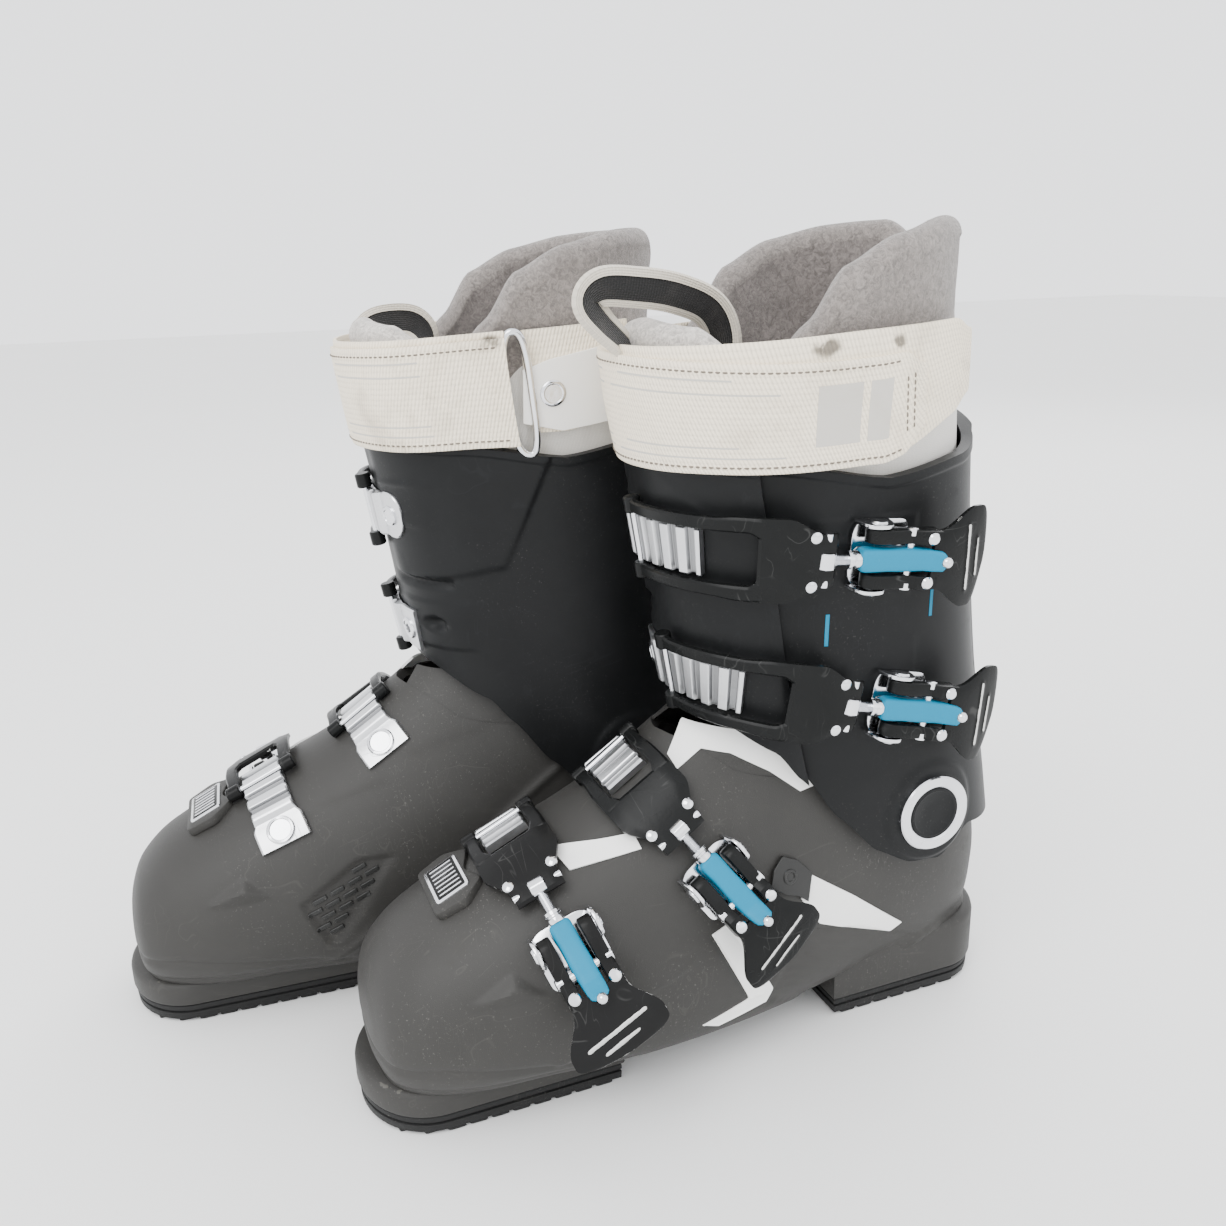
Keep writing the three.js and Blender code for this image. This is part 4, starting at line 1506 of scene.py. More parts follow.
@dataclass
class LowerShell:
    """The clog: a thick moulded wall with lugs at toe and heel, panels, ribs and a rolled rim."""

    standing: Standing
    wall: float = 4.5
    columns: int = 256
    rows: int = 210
    toe_lug: tuple[float, float, float, float] = TOE_LUG
    heel_lug: tuple[float, float, float, float] = HEEL_LUG
    spear: list = field(
        default_factory=lambda: [(-113.7, 59.2), (-91.5, 72.9), (-80, 63.8), (-78.2, 57.9), (-102, 60.6)]
    )
    ribbed: list = field(
        default_factory=lambda: [(-69.2, 58), (-41.2, 75), (1.8, 72.5), (-51.3, 38.5), (-56.6, 31)]
    )

    def relief(self, v: Array, angle: Array) -> Array:
        """How far details stand out of the plain form, in millimetres.

        Each detail is a smooth step of the distance inside its outline, or a bell curve of the
        distance from a line, measured on the side view.

        Args:
            v: section numbers along the form.
            angle: angles round the boot in degrees, 0 at the front.

        Returns:
            Millimetres outward.
        """
        p = FOOT.point(v, angle)
        x, y, z = np.moveaxis(p, -1, 0)
        lateral = ease(x, 8, 16)
        medial = ease(-x, 8, 16)
        out = -1.3 * bell(z - 23.5, 2.0) * ease(-y, 40, 62)
        out += -0.9 * bell(off_line(y, z, [(-146, 34), (-120, 36), (-60, 27), (-44, 20)]), 1.5)
        # a seat for the white chevron, its point towards the heel
        upper = [(-11, 71), (-2.6, 74), (18, 36.5), (6, 36.5)]
        lower = [(6, 36.5), (18, 36.5), (14.6, 30), (-7, 26), (-15, 30)]
        chevron = np.maximum(ease(inside(y, z, upper), -0.2, 1.2), ease(inside(y, z, lower), -0.2, 1.2))
        out += -0.7 * chevron * lateral
        # behind the chevron the wall steps in, down to the arch
        behind = inside(y, z, [(18, 36), (30, 62), (64, 52), (100, 34), (62, 6), (16, 29)])
        out += -0.9 * ease(behind, -0.2, 1.0) * lateral
        out += np.clip(inside(y, z, self.spear), 0, 5) * 0.7 * (lateral + medial)
        # a raised arch line from ball to heel, and a stepped heel
        arch = [(-78, 30), (-50, 52), (-22, 62)]
        out += 0.8 * bell(off_line(y, z, arch), 2.0) * lateral
        heel = ease(off_line(y, z, [(127, 50), (132, 37), (103, 33.5), (70, 18), (58, 4)]), 0, 1.6)
        below = inside(y, z, [(58, -10), (150, -10), (150, 36), (132, 37), (103, 33.5), (58, 4)])
        out += 1.8 * ease(below, -0.6, 1.0) * heel
        # diagonal ribs behind the chevron
        ribs = ease(inside(y, z, [(24, 30), (72, 30), (46, 58), (30, 66)]), 0, 3) * lateral
        out += 0.28 * ribs * np.sin((y * 0.5 + z) * 1.35)
        # the inner side: a ribbed, recessed panel and a ridge that climbs to the ankle
        panel = ease(inside(y, z, self.ribbed), -0.2, 1.2) * medial
        out += -1.0 * panel
        out += 1.3 * bell(off_line(y, z, [(-56.5, 26.6), (-10.4, 56.1), (55.3, 101)]), 2.2) * medial
        # the flat spine over the instep, and the overlap's edge beside it
        spine = ease(v, 6.55, 6.75) * (1 - ease(v, 7.65, 7.8)) * (1 - ease(np.abs(angle + 6), 24, 28))
        out += 0.5 * spine
        out += 0.4 * ease(v, 8.35, 8.5) * ease(angle, -30, -26) * (1 - ease(angle, 150, 175))
        # the rim's roll
        roll = 0.9 * ease(np.abs(angle), 30, 60)
        return out + roll * ease(v, SHELL_TOP(angle) - 0.18, SHELL_TOP(angle) - 0.06)

    def build(self) -> bpy.types.Object:
        """Builds the wall and its two lugs.

        Returns:
            The shell object, which stands for the CAD's lower shell.
        """
        piece = Piece("shell_wall", self.standing)
        angle = np.linspace(0, 360, self.columns, endpoint=False)[None, :] - 180
        t = np.linspace(0, 1, self.rows)[:, None]
        start = 0.07
        v = start + (SHELL_TOP(angle) - start) * t
        angle = np.broadcast_to(angle, v.shape)
        outer = FOOT.offset(v, angle, self.relief(v, angle))
        back = np.linspace(1, 0, 60)[:, None]
        vi = np.maximum(start + 0.35 + (SHELL_TOP(angle[:1]) - 0.02 - start - 0.35) * back, 0.3)
        ai = np.broadcast_to(angle[:1], vi.shape)
        inner = FOOT.offset(vi, ai, -self.wall)
        grid = np.concatenate([outer, inner])
        rim = ease(t, 0.985, 1.0) * np.ones(angle.shape)
        low = ease(-outer[..., 1], 100, 150) * (1 - ease(outer[..., 2], 20, 46)) * 0.8
        toe_marks = np.maximum(rim * 0.5, low)
        mark = np.concatenate([toe_marks, np.zeros(vi.shape)])
        slots = np.concatenate([np.zeros(self.rows, int), np.full(59, 1)])[:, None]
        piece.skin(grid, around=True, caps=True, mark=mark, slot=slots)
        toe = [
            (1.6, 8.5),
            (0.4, 9.0),
            (0.0, 10.2),
            (0.0, 17.2),
            (0.5, 18.8),
            (1.8, 19.8),
            (5.0, 20.3),
            (12.0, 20.6)
        ]
        piece.rings(
            oval_front(*self.toe_lug, 0.0, False),
            toe,
            mark=np.array([0.5, 0.8, 0.6, 0.6, 0.9, 1.0, 0.4, 0.0])
        )
        heel = [
            (1.6, 8.5),
            (0.4, 9.0),
            (0.0, 10.2),
            (0.0, 30.0),
            (0.5, 31.8),
            (2.0, 33.0),
            (5.0, 33.4),
            (12.0, 33.6)
        ]
        piece.rings(
            oval_front(*self.heel_lug, 0.0, True),
            heel,
            mark=np.array([0.5, 0.8, 0.5, 0.4, 0.8, 0.9, 0.3, 0.0])
        )
        return piece.make(
            [SHELL.material, SHELL_GLOSS.material], "shells", ("lower_shell",)
        )


@dataclass
class Sole:
    """A screwed-on sole plate: stepped sides and tread blocks."""

    standing: Standing
    name: str
    lug: tuple[float, float, float, float]
    heel: bool
    tread: float = 1.1

    def build(self) -> bpy.types.Object:
        """Builds one plate.

        Returns:
            The object, which stands for the CAD's sole plate.
        """
        piece = Piece(self.name + "_plate", self.standing)
        half, end, length, round_by = self.lug
        rings = [
            (1.6, self.tread),
            (1.2, self.tread + 0.4),
            (1.0, 4.6),
            (1.9, 4.9),
            (1.9, 5.6),
            (1.0, 5.9),
            (1.0, 7.6),
            (1.4, 8.0)
        ]
        piece.rings(oval_front(half, end, length, round_by, 0.0, self.heel), rings, mark=0.7)
        sign = 1 if self.heel else -1
        for k in range(int(length / 9) - 1):
            y = end - length + 6 + 9 * k
            past = max(y + 6.6 - (end - round_by), 0) / round_by
            reach = (half - 1.4) * math.sqrt(max(1 - past * past, 0.03))
            for low, high in ((-reach, -1.6), (1.6, reach)):
                block = rounded([(low, y - 1.1), (high, y - 1.1), (high, y + 6.6), (low, y + 6.6)], 1.2, 3)
                piece.plate(block * sign, 0.0, self.tread + 0.3, rim=0.3, mark=0.8)
        return piece.make([SOLE.material], "shells", (self.name,))


@dataclass
class Inserts:
    """White panels and soft throat flaps on the lower shell, with a side tab and a field of bars."""

    standing: Standing
    thick: float = 1.1

    def strip(
        self,
        piece: Piece,
        upper: list,
        lower: list,
        lateral: bool,
        proud: float,
        slot: int = 0,
        rows: int = 12
    ) -> None:
        """Adds a panel between two lines of the side view, laid on the shell.

        Each point is a straight mix between the two lines, then found on the form.

        Args:
            piece: what to add to.
            upper: the panel's upper line (y, z).
            lower: its lower line (y, z).
            lateral: whether it lies on the outer side.
            proud: how far its face stands out of the shell.
            slot: finish number.
            rows: points from one line to the other.
        """
        a, b = resampled(upper, 48), resampled(lower, 48)
        flat = mix(b[None], a[None], np.linspace(0, 1, rows)[:, None, None])
        v, angle = FOOT.find(flat[..., 0], flat[..., 1], lateral)
        seat = LowerShell(self.standing).relief(v, angle)
        over = FOOT.offset(v, angle, seat + proud)
        under = FOOT.offset(v, angle, seat + proud - self.thick)
        if not lateral:
            over, under = over[:, ::-1], under[:, ::-1]
        if np.sum(
            np.cross(over[1, 24] - over[0, 24], over[0, 25] - over[0, 24]) * (over - under)[0, 24]
        ) > 0:
            over, under = over[:, ::-1], under[:, ::-1]
        piece.slab(over, under, slot=slot)

    def build(self) -> list[bpy.types.Object]:
        """Builds the flaps, the panels, the tab and the bars.

        Returns:
            The objects.
        """
        white = Piece("white_panels", self.standing)
        upper = [(-13.5, 136), (-3.5, 147.5), (20, 144), (31, 137), (44, 121)]
        lower = [(-12, 131.5), (-1, 138.5), (9.6, 136.5), (24, 128.5), (36, 119)]
        flaps = Piece("throat_flaps", self.standing)
        self.strip(flaps, upper, lower, True, 0.5)
        self.strip(white, [(-66, 106), (-35, 111.6)], [(-62, 100.9), (-33.5, 106.6)], True, 1.0)
        left = [(-11, 71.5), (6.2, 37), (-15.5, 30.6)]
        right = [(-2.0, 74.8), (18.2, 37.5), (15.2, 30.6), (-7, 26.2)]
        self.strip(white, left, right, True, 0.5)
        self.strip(
            white,
            [(34, 79), (37.5, 84), (60, 68), (87.6, 46)],
            [(32.3, 74.5), (41.5, 60.5), (60, 52), (81, 43)],
            True,
            0.9
        )
        tab = Piece("side_tab", self.standing)
        throat = [(-11, 118), (-2, 122), (10, 120), (24, 112), (34, 108)]
        self.strip(
            flaps, [(-8, 134), (0, 141), (11, 139), (25, 131), (38, 121)], throat, True, -0.35, slot=1
        )
        rise = [(-13, 138), (-3, 149), (12, 149), (28, 142), (42, 126)]
        self.strip(flaps, rise, throat, False, -0.35, slot=1)
        self.strip(
            tab,
            [(19, 90), (24, 95), (31, 92), (37.5, 85)],
            [(17, 84), (24, 79), (30, 77), (35, 73)],
            True,
            2.0
        )
        at = FOOT.find(np.array([26.5]), np.array([86.0]), True)
        o, n = FOOT.offset(*at, np.array([2.0]))[0], FOOT.normal(*at)[0]
        x = unit(np.cross(np.array([0.0, 0, 1]), n))
        ring = [(1.7, -1.6), (3.4, -1.6), (3.4, 0.5), (3.0, 0.8), (2.1, 0.8), (1.7, 0.4)]
        tab.turned(ring, frame_of(o, x, np.cross(n, x), n), sides=32, slot=0, loop=True)
        tab.turned(
            [(0, -1.0), (1.8, -1.0), (1.8, -0.6), (0, -0.6)],
            frame_of(o, x, np.cross(n, x), n),
            sides=20,
            slot=1
        )
        # the shell's soft throat: given the cuff's body and two points, and left at the origin without a
        # body
        low, high = self.standing.place(np.array([[0.0, 10.0, 116.0], [0.0, 10.0, 138.0]]))
        across = (self.standing.body("cuff_group"), tuple(low), tuple(high))
        soft = flaps.make(
            [INSERT.material, SHELL.material], "shells", edge=Edge.CRISP, across=across
        )
        return [
            soft,
            white.make([INSERT.material], "shells", edge=Edge.CRISP, bevel=0.35),
            tab.make(
                [SHELL_GLOSS.material, SOLE.material],
                "shells",
                edge=Edge.CRISP,
                bevel=0.35
            ),
            self.dashes(),
        ]

    def dashes(self) -> bpy.types.Object:
        """Builds the inner side's field of short bars, staggered row by row.

        Bars lie on rows 4.2 mm apart that run along the panel; all their corners are found on the
        form together, then each bar is a small slab of its own.

        Returns:
            The object.
        """
        piece = Piece("side_bars", self.standing)
        along, up = np.array([0.93, 0.36]), np.array([-0.36, 0.93])
        row, column = np.meshgrid(np.arange(-6, 7), np.arange(-8, 9), indexing="ij")
        centre = np.array([-36.0, 55.0]) + row[..., None] * 4.2 * up + (
            column + 0.5 * (row % 2)
        )[..., None] * 8.6 * along
        keep = inside(centre[..., 0], centre[..., 1], LowerShell(self.standing).ribbed) > 2.6
        u, w = np.meshgrid(np.linspace(-3.4, 3.4, 6), np.linspace(-1.0, 1.0, 3), indexing="xy")
        flat = centre[keep][:, None, None] + u[..., None] * along + w[..., None] * up
        v, angle = FOOT.find(flat[..., 0], flat[..., 1], False)
        seat = LowerShell(self.standing).relief(v, angle)
        for over, under in zip(FOOT.offset(v, angle, seat + 0.75), FOOT.offset(v, angle, seat - 0.6)):
            piece.slab(over[:, ::-1], under[:, ::-1])
        return piece.make([SHELL_GLOSS.material], "shells", edge=Edge.CRISP, bevel=0.25)


@dataclass
class ToeBadge:
    """A plain metal plaque with a ridged field on a tab over the toes; it carries no lettering."""

    standing: Standing
    section: float = 4.45
    half: tuple[float, float] = (12.5, 7.5)

    def build(self) -> bpy.types.Object:
        """Builds the tab, the frame and its field of ridges.

        Returns:
            The object.
        """
        piece = Piece("toe_plaque", self.standing)
        seat = (np.array(self.section), np.array(0.0))
        centre = FOOT.point(*seat)
        n = FOOT.normal(*seat)
        x = np.array([1.0, 0, 0])
        y = np.cross(n, x)
        m = frame_of(centre + n * 0.2, x, y, n)
        tab = rounded([(-17, -10), (17, -10), (19, 3), (12, 13), (0, 8), (-12, 13), (-19, 3)], 2.5)
        piece.plate(tab, -3.0, 1.3, rim=0.7, mark=0.5, slot=0, m=m)
        w, h = self.half
        piece.plate(rounded([(-w, -h), (w, -h), (w, h), (-w, h)], 1.6), 0.0, 2.2, rim=0.35, slot=1, m=m)
        piece.plate(
            rounded(
                [(-w + 1.3, -h + 1.3), (w - 1.3, -h + 1.3), (w - 1.3, h - 1.3), (-w + 1.3, h - 1.3)], 0.8
            ),
            1.0,
            2.35,
            rim=0.15,
            slot=2,
            m=m
        )
        for k in range(7):
            cx = -w + 3.4 + k * (2 * w - 6.8) / 6
            bar = rounded(
                [(cx - 0.45, -h + 2.4), (cx + 0.45, -h + 2.4), (cx + 0.45, h - 2.4), (cx - 0.45, h - 2.4)],
                0.4,
                3
            )
            piece.plate(bar, 2.0, 2.7, rim=0.15, slot=1, m=m)
        return piece.make(
            [SHELL.material, CHROME.material, BLACK_PAINT.material], "shells"
        )


# ---- cuff -------------------------------------------------------------------------------------------


@dataclass
class Cuff:
    """The hinged upper: one sheet wrapped past itself at the front, with raised panels and ridges."""

    standing: Standing
    wall: float = 4.0
    span: tuple[float, float] = (-382.0, 42.0)
    columns: int = 300
    rows: int = 130
    panel: list = field(
        default_factory=lambda: [(-16, 206), (-1, 196.7), (34, 202), (57, 256), (58, 270), (-42, 266)]
    )

    def relief(self, v: Array, angle: Array) -> Array:
        """Details that stand out of the cuff's form, in millimetres.

        Args:
            v: section numbers along the form.
            angle: angles round the boot in degrees, 0 at the front.

        Returns:
            Millimetres outward.
        """
        p = SHAFT.point(v, angle)
        x, y, z = np.moveaxis(p, -1, 0)
        turn = (angle + 180) % 360 - 180
        medial = ease(-x, 6, 16)
        lateral = ease(x, 6, 16)
        out = 1.3 * ease(inside(y, z, self.panel), -0.2, 1.3) * medial
        fade = 1 - ease(y, -2, 16)
        out += medial * fade * (
            0.7 * bell(z - 241 - 0.05 * y, 1.4) + 0.8 * ease(z, 221, 222.2) * (1 - ease(z, 222.2, 236))
        )
        slot = inside(y, z, [(-12, 193.4), (14, 193.4), (14, 197.4), (-12, 197.4)])
        out += -2.2 * ease(slot, -1.0, 1.6) * medial
        hole = np.hypot(y - 7.8, z - 176)
        out += -3.4 * (1 - ease(hole, 1.4, 4.4)) * medial
        # a band for the ankle buckle, and the hinge's round boss
        out += 0.8 * medial * ease(z, 164, 165.5) * (1 - ease(z, 186, 187.5)) * (1 - ease(y, 16, 24))
        hinge = np.hypot(y - ANKLE[0], z - ANKLE[1])
        out += 0.9 * (1 - ease(hinge, 20.5, 23.0))
        # the spine at the back, and lips along both edges
        spine = ease(np.abs(turn), 152, 158)
        out += 1.5 * spine * ease(z, 120, 132)
        top = CUFF_TOP(angle)
        out += 0.6 * ease(v, top - 0.16, top - 0.12)
        # a shallow facet behind the outer flap's end, and a seat for each buckle's base
        facet = inside(y, z, [(-20, 262), (8, 226), (60, 226), (60, 262)])
        out += -0.5 * ease(facet, 0, 2.5) * lateral
        for cy, cz, w, h in ((54, 219, 22, 17), (58, 167, 22, 17)):
            pad = inside(y, z, [(cy - w, cz - h), (cy + w, cz - h), (cy + w, cz + h), (cy - w, cz + h)])
            out += 0.35 * ease(pad, 0, 1.5) * lateral
        return out

    def build(self) -> bpy.types.Object:
        """Builds the cuff.

        Returns:
            The object, which stands for the CAD's cuff.
        """
        piece = Piece("cuff_shell", self.standing)
        angle = np.linspace(*self.span, self.columns)[None, :]
        t = np.linspace(0, 1, self.rows)[:, None]
        # rows crowd towards both edges, where the lips are
        t = t - 0.6 * np.sin(2 * np.pi * t) / (2 * np.pi)
        v = mix(CUFF_BOTTOM(angle), CUFF_TOP(angle), t)
        angle = np.broadcast_to(angle, v.shape)
        lift = cuff_lift(angle)
        edge = np.minimum(
            ease(angle, self.span[0], self.span[0] + 2.2), 1 - ease(angle, self.span[1] - 2.2, self.span[1])
        )
        roll = 0.9 * (1 - edge)
        over = SHAFT.offset(v, angle, lift + self.relief(v, angle) * edge - roll)
        under = SHAFT.offset(v, angle, lift - self.wall + roll)
        rim = np.maximum(1 - ease(t, 0.0, 0.014), ease(t, 0.986, 1.0)) * np.ones(v.shape)
        flap = 1 - ease(np.abs(angle - self.span[1]), 0.3, 1.8)
        piece.slab(over, under, mark=np.maximum(rim, flap) * 0.8)
        return piece.make(
            [CUFF.material], self.standing.body("cuff_group"), ("cuff",), bevel=0.9
        )


@dataclass
class CuffMarks:
    """Two thin turquoise tally lines on the outer side of the cuff; there is no lettering."""

    standing: Standing
    width: float = 1.5

    def build(self) -> bpy.types.Object:
        """Lays two printed lines on the cuff.

        Returns:
            The object.
        """
        piece = Piece("cuff_lines", self.standing)
        for y, low, high in ((40.0, 184.5, 197.5), (86.5, 191.0, 202.5)):
            grid = np.stack(
                np.meshgrid(
                    np.linspace(y - self.width / 2, y + self.width / 2, 3), np.linspace(low, high, 12)
                ),
                -1
            )
            v, angle = SHAFT.find(grid[..., 0], grid[..., 1], True)
            off = cuff_surface(angle)
            over = SHAFT.offset(v, angle, off + 0.12)
            under = SHAFT.offset(v, angle, off - 0.4)
            piece.slab(over[:, ::-1], under[:, ::-1])
        return piece.make([TURQUOISE.material], self.standing.body("cuff_group"))


def cuff_surface(angle: Array) -> Array:
    """The cuff's outside at an angle between -180 and 180 that the outer flap may cover."""
    covered = np.asarray(angle) <= 42
    return np.where(covered, cuff_lift(angle), 0.0)


@dataclass
class Pivot:
    """A cuff hinge: a broad ring round a dished disc."""

    standing: Standing
    lateral: bool

    def build(self) -> bpy.types.Object:
        """Builds the hinge head and its shank.

        Returns:
            The object, which stands for the CAD's hinge rivet.
        """
        side = 1 if self.lateral else -1
        node = "pivot_rivet_lateral" if self.lateral else "pivot_rivet_medial"
        piece = Piece(node.replace("rivet", "ring"), self.standing)
        surface = abs(SHAFT.point(np.array(1.95), np.array(90.0 * side))[0]) + 0.8
        o = np.array([side * surface, *ANKLE])
        y, z = np.array([0.0, 1, 0]), np.array([0.0, 0, 1])
        m = frame_of(o, y, z, np.array([1.0, 0, 0])) if self.lateral else frame_of(
            o, z, y, np.array([-1.0, 0, 0])
        )
        big = 16.6 if self.lateral else 14.8
        hub = 11.6 if self.lateral else 9.4
        ring = [
            (hub, -2.0),
            (big - 0.6, -2.0),
            (big, 0.4),
            (big, 1.5),
            (big - 0.5, 2.0),
            (hub + 0.7, 2.0),
            (hub, 1.5)
        ]
        piece.turned(ring, m, sides=64, slot=0, loop=True)
        disc = [
            (0, -2),
            (hub, -2),
            (hub, 1.2),
            (hub - 0.5, 1.7),
            (hub - 1.4, 1.75),
            (hub - 2.2, 1.35),
            (4, 1.0),
            (0, 1.0)
        ]
        piece.turned(disc, m, sides=48, slot=1)
        piece.turned([(0, -11), (6, -11), (6, -1.5), (0, -1.5)], m, sides=24, slot=0)
        shell = CHROME if self.lateral else BLACK_PAINT
        return piece.make(
            [shell.material, CUFF.material], "shells", (node,), edge=Edge.CRISP
        )


# ---- liner ------------------------------------------------------------------------------------------


@dataclass
class LinerFoot:
    """The liner's foot: a soft bootee inside the clog."""

    standing: Standing
    gap: float = 7.7
    wall: float = 6.5

    def build(self) -> bpy.types.Object:
        """Builds the bootee: its outside, its rolled lip and its lining.

        Returns:
            The object, which stands for the CAD's liner foot.
        """
        piece = Piece("liner_bootee", self.standing)
        top = stops((0, 8.6), (40, 10), (90, 11.6), (180, 12.9))
        angle = np.linspace(-180, 180, 96, endpoint=False)[None]
        t = np.linspace(0, 1, 60)[:, None]
        v = 0.4 + (top(angle) - 0.4) * t
        a = np.broadcast_to(angle, v.shape)
        outer = FOOT.offset(v, a, -self.gap - 0.3 + 0.25 * np.cos(v * 9))
        inner = FOOT.offset(np.maximum(v[::-1], 0.9), a, -self.gap - self.wall + 0.3)
        lip = FOOT.offset(top(angle) + 0.1, angle, -self.gap - self.wall / 2)
        # the lip and the inside take the darker fleece copy, painted shade
        slots = np.concatenate([np.zeros(60, int), np.ones(60, int)])[:, None]
        piece.skin(np.concatenate([outer, lip, inner]), around=True, caps=True, slot=slots)
        return piece.make([SKIN.material, SHADED_FLEECE.material], "shells", ("liner_foot",))


@dataclass
class LinerShaft:
    """The liner's upper: a padded wall whose top edge is rolled fleece over a white outer skin."""

    standing: Standing
    wall: float = 10.0
    roll: float = 7.0
    rows: int = 120
    rise: float = 27.5

    def inset(self, angle: Array, v: Array) -> Array:
        """How far the liner lies inside the cuff's outside.

        Args:
            angle: angles round the boot in degrees, 0 at the front.
            v: section numbers along the form.

        Returns:
            Millimetres inward.
        """
        room = stops((0, 0), (50, 1.8), (90, 2.4), (120, 4.5), (180, 7))
        turn = np.abs((angle + 180) % 360 - 180)
        corner = np.exp(-(((turn - 142) / 24) ** 2)) * ease(v, 8.0, 9.8)
        return 5.3 + (1 - ease(v, 2.6, 5)) * (8.9 + room(angle)) + 5.0 * corner

    def build(self) -> bpy.types.Object:
        """Builds the wall with its rolled collar.

        The section goes up the outside, over a half circle of the roll's radius and down the inside.

        Returns:
            The object.
        """
        piece = Piece("liner_collar", self.standing)
        angle = np.linspace(308.5, 51.5, self.rows)[:, None]
        top = LINER_TOP(angle)
        ends = np.minimum(ease(angle, 51.5, 58), 1 - ease(angle, 302, 308.5))
        r = self.roll * (0.82 + 0.18 * ends)
        centre = top - r / self.rise
        phi = np.linspace(0, np.pi / 2, 12)[None]
        up = np.linspace(0, 1, 34)[None]
        lump = hills(
            np.stack(
                [
                    np.cos(np.radians(angle)) * 50 + 0 * up,
                    np.sin(np.radians(angle)) * 50 + 0 * up,
                    up * 200 + 0 * angle
                ],
                -1
            ),
            60,
            5
        )
        v_side = 2.2 + (centre - 2.2) * up
        swell = ease(v_side, centre - 0.8, centre - 0.05) * (r - self.wall / 2)
        mid = self.inset(angle, v_side) + self.wall / 2
        lay = self.wall / 2 - 0.4
        outside = mid - lay - swell + 0.5 * lump * ease(v_side, 7.6, 8.2)
        inside_ = mid + lay + swell + 0.6 * lump
        mid_top = self.inset(angle, centre) + self.wall / 2
        v_arc = centre + r * np.sin(phi) / self.rise
        out_arc = mid_top - r * np.cos(phi)
        in_arc = mid_top + r * np.cos(phi)
        v = np.concatenate([v_side, v_arc[:, 1:]], 1)
        a = np.broadcast_to(angle, v.shape)
        over = SHAFT.offset(v, a, -np.concatenate([outside, out_arc[:, 1:]], 1))
        under = SHAFT.offset(v, a, -np.concatenate([inside_, in_arc[:, 1:]], 1))
        fleece_from, lining_rows = 29, up.size
        slots = np.zeros(over.shape[1] * 2, int)
        slots[fleece_from:-lining_rows] = 1
        # the inside rows take the darker fleece copy, painted shade
        slots[-lining_rows:] = 2
        uv = np.stack([a / 360 * 0.33, v * 0.0275], -1)
        piece.slab(over, under, slot=slots, uv=uv)
        made = piece.make(
            [SKIN.material, FLEECE.material, SHADED_FLEECE.material],
            self.standing.body("cuff_group"),
            ("liner_shaft",),
            edge=Edge.SOFT
        )
        return made


@dataclass
class Tongue:
    """The liner's tongue: a padded plate over the shin with a felt top edge and a white border."""

    standing: Standing
    wall: float = 9.0
    roll: float = 6.5
    rise: float = 27.5

    def build(self) -> bpy.types.Object:
        """Builds the tongue.

        Returns:
            The object.
        """
        piece = Piece("tongue_pad", self.standing)
        angle = np.linspace(44, -44, 61)[:, None]
        top = TONGUE_TOP(angle)
        side = 1 - ease(np.abs(angle), 30, 44)
        r = self.roll * (0.6 + 0.4 * side)
        centre = top - r / self.rise
        up = np.linspace(0, 1, 48)[None]
        phi = np.linspace(0, np.pi / 2, 12)[None]
        v_side = 2.45 + (centre - 2.45) * up
        lay = self.wall / 2 * (0.55 + 0.45 * np.sqrt(np.maximum(side, 0)))
        swell = ease(v_side, centre - 0.7, centre) * (r - lay)
        mid = 5.3 + self.wall / 2 - ease(v_side, 7.6, 9.2) * 3.2 + 0 * angle
        lean = 5.3 + self.wall / 2 - ease(centre, 7.6, 9.2) * 3.2
        v = np.concatenate([v_side, (centre + r * np.sin(phi) / self.rise)[:, 1:]], 1)
        a = np.broadcast_to(angle, v.shape)
        over = SHAFT.offset(v, a, -np.concatenate([mid - lay - swell, (lean - r * np.cos(phi))[:, 1:]], 1))
        under = SHAFT.offset(v, a, -np.concatenate([mid + lay + swell, (lean + r * np.cos(phi))[:, 1:]], 1))
        slots = np.zeros(over.shape[1] * 2, int)
        felt_from, lining_rows = 43, 44
        slots[felt_from:-lining_rows] = 1
        # the inside rows take the darker fleece copy, painted shade
        slots[-lining_rows:] = 2
        uv = np.stack([a / 360 * 0.33, v * 0.0275], -1)
        piece.slab(over, under, slot=slots, uv=uv)
        made = piece.make(
            [SKIN.material, FELT.material, SHADED_FLEECE.material],
            self.standing.body("cuff_group"),
            ("liner_tongue",),
            edge=Edge.SOFT
        )
        return made


